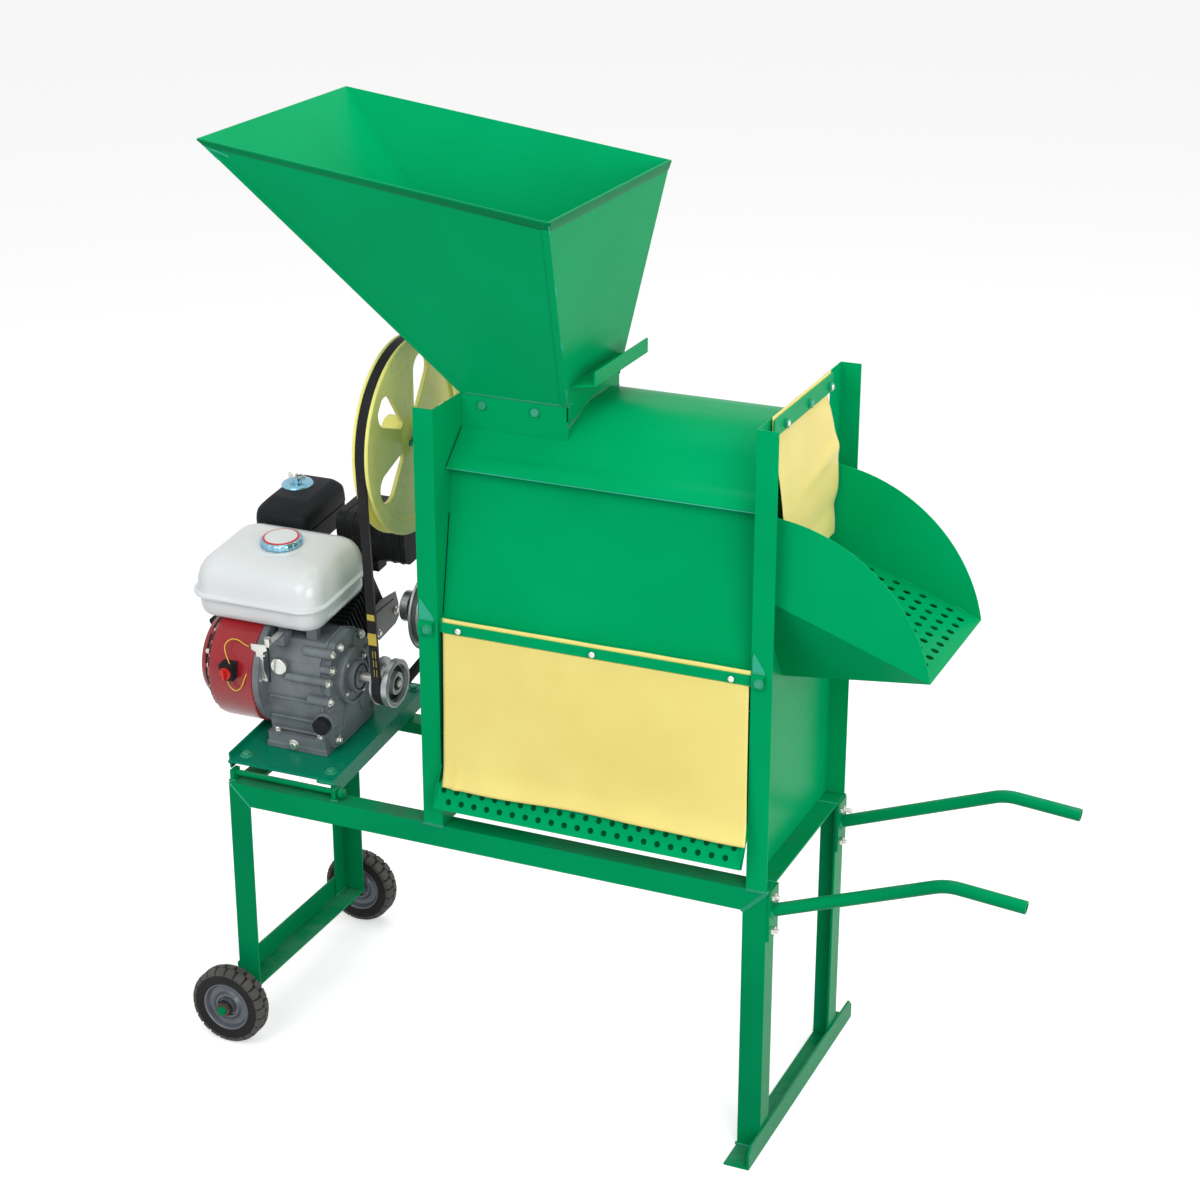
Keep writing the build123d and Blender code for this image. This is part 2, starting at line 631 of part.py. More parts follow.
DRUM_X0 = 418.0
DRUM_X1 = 890.0
SHAFT_END_X = 934.0
PULLEY_NEAR_X = BELT_X - PULLEY_WIDTH / 2
PULLEY_FAR_X = BELT_X + PULLEY_WIDTH / 2


def rotor_shaft():
    """The rotor's shaft, from outside the belt pulley to the far bearing."""
    return rod_x(PULLEY_NEAR_X - 30, SHAFT_END_X, ROTOR_Y, ROTOR_Z, ROTOR_SHAFT_RADIUS)


def threshing_drum():
    """The drum tube with end discs and four twisted rows of pegs."""
    tube = rod_x(DRUM_X0, DRUM_X1, ROTOR_Y, ROTOR_Z, DRUM_RADIUS)
    tube = tube - rod_x(DRUM_X0 + 4, DRUM_X1 - 4, ROTOR_Y, ROTOR_Z, DRUM_RADIUS - 3)
    tube = tube - rod_x(DRUM_X0 - 1, DRUM_X1 + 1, ROTOR_Y, ROTOR_Z, ROTOR_SHAFT_RADIUS)
    rows = 4
    per_row = 9
    pegs = []
    for row in range(rows):
        for i in range(per_row):
            turn = row * 360 / rows + i * 10
            x = DRUM_X0 + 28 + i * (DRUM_X1 - DRUM_X0 - 56) / (per_row - 1)
            peg = Pos(x, ROTOR_Y, ROTOR_Z) * Rot(turn, 0, 0)
            reach = BEATER_RADIUS - DRUM_RADIUS + 2
            pegs.append(peg * Pos(0, 0, DRUM_RADIUS - 2 + reach / 2) * Box(12, 12, reach))
    return tube + pegs


def concave():
    """The cradle of bars under the drum, with two end ribs, a middle rib and a feed apron."""
    start = 198
    end = 338
    bar_count = 15
    end_x = RIGHT_WALL_X - 7
    ribs = []
    for x in (LEFT_WALL_X, (LEFT_WALL_X + end_x) / 2, end_x - 6):
        outer = arc_points((ROTOR_Y, ROTOR_Z), CONCAVE_RADIUS + 5, start, end, 21)
        inner = arc_points((ROTOR_Y, ROTOR_Z), CONCAVE_RADIUS - 5, end, start, 21)
        ribs.append(prism_x(outer + inner, x, x + 6))
    bars = []
    for y, z in arc_points((ROTOR_Y, ROTOR_Z), CONCAVE_RADIUS, start + 2, end - 2, bar_count):
        bars.append(rod_x(LEFT_WALL_X, end_x, y, z, 4))
    y, z = arc_points((ROTOR_Y, ROTOR_Z), CONCAVE_RADIUS, start + 1, end, 2)[0]
    apron = prism_x(bent_sheet([(59.5, 1050), (y, z)], SHEET), LEFT_WALL_X, end_x)
    return join(ribs + bars + [apron])


def drum_bearings():
    """A flanged bearing on each end of the rotor, the right one on a bar across the cob window."""
    bore = rod_x(300, 960, ROTOR_Y, ROTOR_Z, ROTOR_SHAFT_RADIUS + RUNNING_GAP)
    left_face = LEFT_WALL_X - SHEET
    left = rod_x(left_face - 10, left_face, ROTOR_Y, ROTOR_Z, 38) + rod_x(left_face - 26, left_face - 10,
                                                                          ROTOR_Y, ROTOR_Z, 27)
    left = left + block(left_face - 10, left_face, ROTOR_Y - 58, ROTOR_Y + 58, ROTOR_Z - 18, ROTOR_Z + 18)
    bar = block(RIGHT_WALL_X - 6, RIGHT_WALL_X, 62.5, 372, ROTOR_Z - 20, ROTOR_Z + 20)
    right = bar + rod_x(RIGHT_WALL_X - 34, RIGHT_WALL_X - 6, ROTOR_Y, ROTOR_Z, 30)
    socket = rod_x(left_face, SHAFT_END_X + 0.5, ROTOR_Y, ROTOR_Z, ROTOR_SHAFT_RADIUS + RUNNING_GAP)
    return [left - bore, right - socket]


parts["rotor_shaft"] = rotor_shaft()
parts["threshing_drum"] = threshing_drum()
parts["concave"] = concave()
parts["drum_bearings"] = drum_bearings()


# Pulleys and the belt that runs round all three

def vee_pulley(radius, bore, rim, hub, web, y, z, extra=0.0):
    """A pulley with one vee groove, revolved, its groove in the belt's plane."""
    half = PULLEY_WIDTH / 2
    slope = tan(radians(VEE_ANGLE))
    top = BELT_WIDTH / 2 + BELT_SINK * slope + BELT_SIDE_GAP
    depth = BELT_SINK + BELT_HEIGHT + 1
    bottom = top - depth * slope
    floor = radius - depth
    section = [(floor - rim, -half), (radius, -half), (radius, -top), (floor, -bottom), (floor, bottom),
               (radius, top), (radius, half + extra), (floor - rim, half + extra)]
    if web:
        section = section[1:-1] + [(floor - rim, half), (floor - rim, half - 5), (hub, half - 5), (hub, half),
                                   (bore, half), (bore, -half - 24), (hub, -half - 24), (hub, half - 5 - web),
                                   (floor - rim, half - 5 - web), (floor - rim, -half)]
    else:
        section = section[1:-1] + [(bore, half + extra), (bore, -half)]
    outline = make_face(Polyline([(x, r, 0) for r, x in section], close=True).edges())
    return Pos(BELT_X, y, z) * revolve(outline, Axis.X)


def drum_pulley():
    """The large pulley on the rotor, with five teardrop windows in its web."""
    wheel = vee_pulley(DRUM_PULLEY_RADIUS, ROTOR_SHAFT_RADIUS, 12, 29, 8, ROTOR_Y, ROTOR_Z)
    windows = []
    outer = 112.0
    wide = 26.0
    inner = 52.0
    tip = 8.0
    for i in range(5):
        drop = make_hull((Pos(outer, 0) * Circle(wide)).edges() + (Pos(inner, 0) * Circle(tip)).edges())
        cut = extrude(drop, amount=PULLEY_WIDTH * 2, both=True)
        windows.append(Pos(BELT_X, ROTOR_Y, ROTOR_Z) * Rot(18 + i * 72, 0, 0) * Rot(0, 90, 0) * cut)
    return wheel - windows


def tangent_points(first, second):
    """Where the belt leaves one circle and meets the next, both turned the same way."""
    (y0, z0, r0), (y1, z1, r1) = first, second
    away = atan2(z1 - z0, y1 - y0)
    lean = asin((r0 - r1) / hypot(y1 - y0, z1 - z0))
    side = away - radians(90) + lean
    return ((y0 + r0 * cos(side), z0 + r0 * sin(side)), (y1 + r1 * cos(side), z1 + r1 * sin(side)))


def belt_outline(inset):
    """The loop round the engine, fan and drum pulleys, moved in by an inset."""
    stops = [(CRANK_Y, CRANK_Z, ENGINE_PULLEY_RADIUS - inset), (FAN_Y, FAN_Z, FAN_PULLEY_RADIUS - inset),
             (ROTOR_Y, ROTOR_Z, DRUM_PULLEY_RADIUS - inset)]
    spans = [tangent_points(stops[i], stops[(i + 1) % 3]) for i in range(3)]
    edges = []
    for i in range(3):
        y, z, radius = stops[(i + 1) % 3]
        meet = spans[i][1]
        leave = spans[(i + 1) % 3][0]
        start = atan2(meet[1] - z, meet[0] - y)
        end = atan2(leave[1] - z, leave[0] - y)
        if end < start:
            end += radians(360)
        middle = (start + end) / 2
        edges.append(Line(spans[i][0], meet))
        edges.append(ThreePointArc(meet, (y + radius * cos(middle), z + radius * sin(middle)), leave))
    return make_face(edges)


def drive_belt():
    """The vee belt, wider at its back than at its inner face."""
    slope = tan(radians(VEE_ANGLE))
    wide = BELT_WIDTH / 2
    narrow = wide - BELT_HEIGHT * slope
    band = extrude(Plane.YZ * belt_outline(BELT_SINK), amount=wide, both=True)
    inner = belt_outline(BELT_SINK + BELT_HEIGHT)
    band = band - extrude(Plane.YZ * inner, amount=narrow + 0.01, both=True)
    outer = belt_outline(0)
    for side in (1, -1):
        start = Plane.YZ.offset(side * narrow) * inner
        end = Plane.YZ.offset(side * (wide + BELT_SINK * slope)) * outer
        band = band - loft([start, end], ruled=True)
    return Pos(BELT_X, 0, 0) * band


DECK_FOOT_Y = CRANK_Y + CRANK_HEIGHT * sin(radians(DECK_TILT))
DECK_FOOT_Z = DECK_FRONT[1] + (DECK_FOOT_Y - DECK_FRONT[0]) * tan(radians(DECK_TILT))
CRANK_Z = DECK_FOOT_Z + CRANK_HEIGHT * cos(radians(DECK_TILT))

parts["drum_pulley"] = drum_pulley()
parts["engine_pulley"] = vee_pulley(ENGINE_PULLEY_RADIUS, CRANK_RADIUS, 8, 0, 0, CRANK_Y, CRANK_Z, 7)
parts["fan_pulley"] = vee_pulley(FAN_PULLEY_RADIUS, FAN_SHAFT_RADIUS, 8, 20, 8, FAN_Y, FAN_Z)
parts["drive_belt"] = drive_belt()


# Blower fan under the drum

FAN_END_X = 930.0


def fan_shaft():
    """The fan's shaft, with the round hub that sticks out past its pulley."""
    shaft = rod_x(PULLEY_NEAR_X - 34, FAN_END_X, FAN_Y, FAN_Z, FAN_SHAFT_RADIUS)
    return shaft + rod_x(PULLEY_NEAR_X - 40, PULLEY_NEAR_X - 26, FAN_Y, FAN_Z, 28)


def fan_impeller():
    """Four flat fan blades on two spiders."""
    pieces = []
    for x in (470, 860):
        pieces.append(rod_x(x, x + 14, FAN_Y, FAN_Z, 22))
        for i in range(4):
            arm = Pos(x + 7, FAN_Y, FAN_Z) * Rot(45 + i * 90, 0, 0)
            pieces.append(arm * Pos(0, 0, 32) * Box(14, 5, 40))
    for i in range(4):
        blade = Pos((430 + 915) / 2, FAN_Y, FAN_Z) * Rot(45 + i * 90, 0, 0)
        pieces.append(blade * Pos(0, 0, FAN_RADIUS - 14) * Box(915 - 430, 2.5, 28))
    return join(pieces) - rod_x(400, 940, FAN_Y, FAN_Z, FAN_SHAFT_RADIUS)


def fan_bearings():
    """A bearing on a bracket bar at each end of the fan shaft."""
    bore = rod_x(300, FAN_END_X + 0.5, FAN_Y, FAN_Z, FAN_SHAFT_RADIUS + RUNNING_GAP)
    left_face = LEFT_WALL_X - SHEET
    left = block(left_face - 8, left_face, FAN_Y - 45, FAN_Y + 44, FAN_Z - 12, FAN_Z + 12)
    left = left + rod_x(left_face - 24, left_face, FAN_Y, FAN_Z, 20)
    right = rod_x(FAN_END_X - 14, RIGHT_WALL_X, FAN_Y, FAN_Z, 24)
    return [left - bore, right - bore]


parts["fan_shaft"] = fan_shaft()
parts["fan_impeller"] = fan_impeller()
parts["fan_bearings"] = fan_bearings()


# Engine deck: a plate between two angle bars, hinged at the front and propped at the back

deck_place = Pos(0, DECK_FOOT_Y, DECK_FOOT_Z) * Rot(DECK_TILT, 0, 0)
DECK_X = (-10.0, 195.0)
DECK_Y0 = -152.0
DECK_Y1 = 196.0


def deck_pin():
    """The hinge pin under the front edge of the deck."""
    return rod_x(DECK_X[0] + 6, DECK_X[1] + 16, 19, DECK_FRONT[1] - 20, 5)


def engine_deck():
    """The tilted engine plate with its two carrier bars."""
    x0, x1 = DECK_X
    plate = block(x0, x1, DECK_Y0, DECK_Y1, -DECK_THICKNESS, 0)
    right = block(x1 - 30, x1, DECK_Y0, DECK_Y1, -DECK_THICKNESS - 4, -DECK_THICKNESS)
    right = right + block(x1 - 4, x1, DECK_Y0, DECK_Y1, -DECK_THICKNESS - 26, -DECK_THICKNESS)
    left = block(x0 - 4, x0, DECK_Y0 + 8, DECK_Y1, -DECK_THICKNESS - 16, 9)
    return deck_place * (plate + right + left) - deck_pin()


def deck_mounts():
    """Two hinge posts at the front rail, with their pin, and two props at the far rail."""
    pieces = []
    near_z = DECK_FRONT[1] - 11
    far_y = FRAME_WIDTH - 18
    far_z = DECK_FRONT[1] + (far_y - DECK_FRONT[0]) * tan(radians(DECK_TILT)) - 12
    for x in (DECK_X[0] + 12, DECK_X[1] + 5):
        pieces.append(block(x - 4, x + 4, 9, 29, FRAME_TOP, near_z - 2))
    front = join(pieces + [deck_pin()])
    props = []
    for x in (DECK_X[0] + 30, DECK_X[1] - 40):
        prop = rod_z(FRAME_TOP, far_z + 4, x, far_y, 6) + rod_z(FRAME_TOP, FRAME_TOP + 9, x, far_y, 11)
        props.append(prop)
    return [front] + props


parts["engine_deck"] = engine_deck()
parts["deck_mounts"] = deck_mounts()


# Engine, in its own coordinates: Y from the crank's axis, Z up from the deck plate

def crankcase():
    """The crankcase on its base flange, with its cover, crank bore, tank posts and lever bracket."""
    section = [(-80, 0), (80, 0), (84, 14), (72, 22), (74, 110), (60, 178), (20, 196), (-40, 196), (-68, 170),
               (-74, 120), (-70, 22), (-84, 14)]
    cover = [(-78, 34), (-72, 12), (-40, 4), (56, 4), (80, 24), (82, 130), (52, 180), (14, 200), (-36, 196),
             (-60, 166), (-70, 120)]
    body = prism_x(section, 33, 140) + block(34, 146, -86, 84, 0, 30) + prism_x(cover, 140, 156)
    body = body + rod_x(156, 166, 0, CRANK_HEIGHT, 50) + rod_x(166, 178, 0, CRANK_HEIGHT, 28)
    for y, z in ((-64, 24), (-62, 158), (-30, 186), (44, 176), (72, 112), (70, 28)):
        body = body + rod_x(140, 160, y, z, 8)
    for x in (45, 100):
        body = body + block(x, x + 20, -36, -22, 190, 230)
    body = body + block(50, 72, -66, -38, 192, 207)
    body = body + rod_x(106, 158, -54, 184, 9) + rod_x(78, 158, -76, 141, 7) + rod_x(118, 158, -76, 104, 9)
    body = body + rod_x(22.5, 34, 0, CRANK_HEIGHT, 102) + rod_y(-84, -56, 146, 64, 17)
    body = body - rod_x(20, 180, 0, CRANK_HEIGHT, CRANK_RADIUS + RUNNING_GAP)
    body = body - rod_y(-90, -20, 146, 64, 6.05)
    return body - rod_z(190, 208, 61, -58, 3.05)


def cylinder_head():
    """The finned cylinder and its head, leaning up towards the far side."""
    lean = Pos(0, 46, 138) * Rot(25, 0, 0)
    pieces = [block(46, 126, 0, 130, -40, 40), block(40, 130, 106, 136, -42, 42)]
    fins = 9
    for i in range(fins):
        y = 24 + i * 9.5
        pieces.append(block(38, 132, y, y + 3, -50, 50))
    pieces.append(rod_y(136, 160, 86, 12, 11))
    return lean * join(pieces)


def engine_shroud():
    """The round flywheel shroud with the starter cover, air duct and stop switch box."""
    drum = rod_x(-70, 22, 0, CRANK_HEIGHT, 104) + block(-60, 22, 40, 150, 150, 228)
    drum = drum - rod_x(-67, 23, 0, CRANK_HEIGHT, 100) - block(-57, 23, 40, 160, 153, 225)
    starter = rod_x(-98, -69, 0, CRANK_HEIGHT, 78) + rod_x(-104, -98, 30, CRANK_HEIGHT + 54, 10)
    starter = starter - rod_x(-94, -66, 0, CRANK_HEIGHT, 74)
    switch = block(-30, -6, -117, -96, 136, 164)
    shroud = drum + starter + switch - rod_x(-110, -90, 30, CRANK_HEIGHT + 54, 3.5)
    return shroud - rod_y(-120, -104, -18, 150, 4.05)


def fuel_tank():
    """The rounded tank, its two pressed halves joined at a seam flange, with the filler neck."""
    shell = block(-112, 136, -60, 145, 260, 322)
    shell = fillet(shell.edges().filter_by(Axis.Z), 40)
    shell = fillet(shell.faces().sort_by(Axis.Z)[-1].edges(), 34)
    seam = block(-118, 142, -66, 151, 256, 262)
    seam = fillet(seam.edges().filter_by(Axis.Z), 46)
    lower = block(-108, 132, -56, 140, 230, 258)
    lower = fillet(lower.edges().filter_by(Axis.Z), 36)
    lower = fillet(lower.faces().sort_by(Axis.Z)[0].edges(), 12)
    return shell + seam + lower + rod_z(320, 330, 16, 50, 24)


def fuel_cap():
    """The screwed fuel cap over the filler neck."""
    return rod_z(323, 338, 16, 50, 38) - rod_z(322, 331, 16, 50, 24.6)


def air_cleaner():
    """The air cleaner's box on the carburettor, with its round plate and wing nut."""
    box = block(-110, -2, 158, 318, 246, 330)
    box = fillet(box.edges().filter_by(Axis.Z), 18)
    box = fillet(box.faces().sort_by(Axis.Z)[-1].edges(), 14)
    carburettor = block(-60, -8, 176, 214, 186, 250) + rod_z(172, 186, -34, 195, 17)
    pipe = block(-8, 42, 184, 206, 206, 228)
    knob = rod_z(330, 335, -72, 260, 29) + rod_z(335, 343, -72, 260, 8) + block(-90, -54, 258, 262, 339, 352)
    return box + carburettor + pipe + knob - rod_x(-62, -50, 195, 224, 3.05)


def muffler():
    """The boxed muffler on its exhaust elbow."""
    box = block(48, 182, 180, 290, 240, 326)
    box = fillet(box.edges().filter_by(Axis.X), 20)
    return box + block(96, 124, 184, 214, 222, 242)


def throttle_lever():
    """The throttle lever on its upright pin."""
    arm = block(55, 67, -104, -52, 208, 211) + rod_z(211, 222, 61, -97, 6)
    return arm + rod_z(197, 208, 61, -58, 3)


def choke_lever():
    """The choke lever on the side of the carburettor."""
    arm = block(-65, -61, 189, 201, 190, 230)
    return arm + rod_x(-61, -52, 195, 224, 3)


def stop_switch():
    """The turning engine stop switch with its finger bar."""
    return rod_y(-121, -117.5, -18, 150, 11) + block(-21, -15, -128, -121, 140, 160) + rod_y(-117.5, -106, -18, 150, 4)


def oil_dipstick():
    """The oil filler cap with its dipstick."""
    return rod_y(-98, -84.4, 146, 64, 15) + rod_y(-84.4, -30, 146, 64, 6)


def starter_handle():
    """The pull grip of the recoil starter, with the start of its rope."""
    z = CRANK_HEIGHT + 54
    return rod_y(4, 56, -113, z, 7.5) + rod_x(-107, -96, 30, z, 3)


def crankshaft():
    """The crankshaft with its flywheel."""
    shaft = rod_x(-60, PULLEY_FAR_X + 5, 0, CRANK_HEIGHT, CRANK_RADIUS)
    return shaft + rod_x(-46, -14, 0, CRANK_HEIGHT, 86)


case = crankcase()
tank = fuel_tank()
engine_pieces = {
    "crankcase": case,
    "cylinder_head": cylinder_head() - case,
    "engine_shroud": engine_shroud(),
    "fuel_tank": tank,
    "fuel_cap": fuel_cap(),
    "air_cleaner": air_cleaner(),
    "muffler": muffler(),
    "throttle_lever": throttle_lever(),
    "choke_lever": choke_lever(),
    "stop_switch": stop_switch(),
    "oil_dipstick": oil_dipstick(),
    "starter_handle": starter_handle(),
    "crankshaft": crankshaft(),
}
for name, shape in engine_pieces.items():
    parts[name] = deck_place * shape


# Small bolts on the neck, the strips and the window bar

def panel_bolts():
    """The hexagonal bolt heads on the neck and on both clamp strips."""
    heads = []
    for x in (450, 542):
        heads.append(hex_y(NECK[2] - 6, NECK[2], x, 1181.5, 13))
    for x in (450, 683, 915):
        heads.append(hex_y(-6.4, -2.4, x, 834, 10))
    for y in (96, 203, 297):
        heads.append(hex_x(956.3, 961.3, y, 1218, 13))
    return heads


parts["panel_bolts"] = panel_bolts()


def solids_of(shape):
    """All solids of a piece or of a group of like pieces."""
    pieces = shape if isinstance(shape, list) else [shape]
    return [solid for piece in pieces for solid in piece.solids()]


whole = Compound(children=[solid for shape in parts.values() for solid in solids_of(shape)])
box = whole.bounding_box()
shift = Pos(-(box.min.X + box.max.X) / 2, -(box.min.Y + box.max.Y) / 2, -box.min.Z)

os.makedirs("parts", exist_ok=True)
for name, shape in parts.items():
    export_step(Compound(children=[shift * solid for solid in solids_of(shape)]), f"parts/{name}.step")
print("nodes", len(parts), "origin in building coordinates", [round(-c, 4) for c in shift.position])
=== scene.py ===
"""Corn sheller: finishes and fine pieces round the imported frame.

Lengths in this file are millimetres in building coordinates (X from the engine end to the handles,
Y from the near long side to the far one, Z up from the floor) unless a name says metres.
"""

from dataclasses import dataclass, field
from enum import Enum
import json
import logging
from math import cos, exp, pi, radians, sin
import random

import bmesh
import bpy
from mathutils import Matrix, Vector, noise

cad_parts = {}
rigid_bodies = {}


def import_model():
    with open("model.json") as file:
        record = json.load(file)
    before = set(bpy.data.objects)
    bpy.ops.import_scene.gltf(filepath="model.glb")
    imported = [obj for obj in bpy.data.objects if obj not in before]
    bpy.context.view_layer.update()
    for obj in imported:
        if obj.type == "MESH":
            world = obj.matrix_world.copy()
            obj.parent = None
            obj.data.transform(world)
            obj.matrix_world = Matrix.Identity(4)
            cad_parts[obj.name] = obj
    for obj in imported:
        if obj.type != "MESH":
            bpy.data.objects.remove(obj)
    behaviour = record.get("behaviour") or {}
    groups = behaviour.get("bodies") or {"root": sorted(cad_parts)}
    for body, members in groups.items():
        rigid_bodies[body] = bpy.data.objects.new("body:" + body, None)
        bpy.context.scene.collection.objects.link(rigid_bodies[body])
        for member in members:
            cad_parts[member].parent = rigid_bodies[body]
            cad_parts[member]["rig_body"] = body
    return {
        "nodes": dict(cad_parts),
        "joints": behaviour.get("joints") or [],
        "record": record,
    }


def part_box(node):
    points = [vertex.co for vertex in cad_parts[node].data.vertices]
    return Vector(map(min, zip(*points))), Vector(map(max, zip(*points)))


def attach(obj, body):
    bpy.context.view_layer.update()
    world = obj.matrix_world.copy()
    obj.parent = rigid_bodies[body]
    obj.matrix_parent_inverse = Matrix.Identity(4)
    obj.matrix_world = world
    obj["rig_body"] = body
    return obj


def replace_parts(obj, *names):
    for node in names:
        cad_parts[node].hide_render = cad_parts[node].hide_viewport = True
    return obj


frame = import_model()

LOG = logging.getLogger("corn_sheller")
MM = 0.001
FRAME_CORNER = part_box("near_rail")[0]
ORIGIN = Vector((FRAME_CORNER.x, FRAME_CORNER.y, 0.0))
Pair = tuple[float, float]
Point = tuple[float, float, float]
Colour = tuple[float, float, float]
Object = bpy.types.Object
Socket = bpy.types.NodeSocket


def at(x: float, y: float, z: float) -> Vector:
    """Turn a place in building coordinates into the row frame.

    Args:
        x: Millimetres from the frame's engine end.
        y: Millimetres from the frame's near side.
        z: Millimetres above the floor.

    Returns:
        The place in metres.
    """
    return ORIGIN + Vector((x, y, z)) * MM


def joint(name: str) -> dict:
    """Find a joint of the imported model.

    Args:
        name: The joint's name.

    Returns:
        The joint's entry in the frame.
    """
    return next(j for j in frame["joints"] if j["name"] == name)


# Node trees

class Tree:
    """A small writer for shader and geometry node trees."""

    def __init__(self, tree: bpy.types.NodeTree) -> None:
        """Keep the tree to write in."""
        self.tree = tree

    def add(self, kind: str, values: dict | None = None, **settings: object) -> bpy.types.Node:
        """Add a node.

        Args:
            kind: The node's type name.
            values: Input values by socket name or index.
            **settings: Properties of the node.

        Returns:
            The new node.
        """
        node = self.tree.nodes.new(kind)
        for key, value in settings.items():
            setattr(node, key, value)
        for key, value in (values or {}).items():
            if isinstance(value, Socket):
                self.tree.links.new(value, node.inputs[key])
            else:
                node.inputs[key].default_value = value
        return node

    def math(self, operation: str, a: object, b: object = 0.0, c: object = 0.0) -> Socket:
        """Add a Math node on sockets or numbers and return its output."""
        return self.add("ShaderNodeMath", {0: a, 1: b, 2: c}, operation=operation).outputs[0]

    def ramp(self, factor: object, low: float, high: float, start: float = 0.0, end: float = 1.0) -> Socket:
        """Map a value from one range to another, clamped, and return the result."""
        node = self.add("ShaderNodeMapRange", {0: factor, 1: low, 2: high, 3: start, 4: end})
        return node.outputs[0]

    def noise(self, vector: object, scale: float, detail: float = 4.0, rough: float = 0.55) -> Socket:
        """Add a noise texture and return its value."""
        node = self.add(
            "ShaderNodeTexNoise", {"Vector": vector, "Scale": scale, "Detail": detail, "Roughness": rough})
        return node.outputs["Fac"]

    def mix(self, factor: object, a: object, b: object) -> Socket:
        """Mix two colours and return the result."""
        node = self.add("ShaderNodeMix", data_type="RGBA")
        pairs = ((0, factor), (6, a), (7, b))
        for index, value in pairs:
            if isinstance(value, Socket):
                self.tree.links.new(value, node.inputs[index])
            else:
                node.inputs[index].default_value = value if index == 0 else (*value[:3], 1.0)
        return node.outputs[2]

    def stretched(self, vector: object, scale: Point, turn: Point = (0.0, 0.0, 0.0)) -> Socket:
        """Scale and turn a pattern's coordinates and return them."""
        return self.add("ShaderNodeMapping", {"Vector": vector, "Scale": scale, "Rotation": turn}).outputs[0]

    def seen(self) -> Socket:
        """Return 1 where the camera, a gloss or glass looks, and 0 for light that only bounces."""
        path = self.add("ShaderNodeLightPath").outputs
        direct = self.math("MAXIMUM", path["Is Camera Ray"], path["Is Glossy Ray"])
        return self.math("MAXIMUM", direct, path["Is Transmission Ray"])


def blank(owner: bpy.types.Material | bpy.types.World) -> Tree:
    """Turn on a material's or world's nodes and return its emptied tree."""
    owner.use_nodes = True
    owner.node_tree.nodes.clear()
    return Tree(owner.node_tree)


class Kind(Enum):
    """The surface families of the machine."""

    ENAMEL = "enamel"
    CAST = "cast"
    TURNED = "turned"
    PLASTIC = "plastic"
    RUBBER = "rubber"
    CLOTH = "cloth"
    GLOSSY = "glossy"


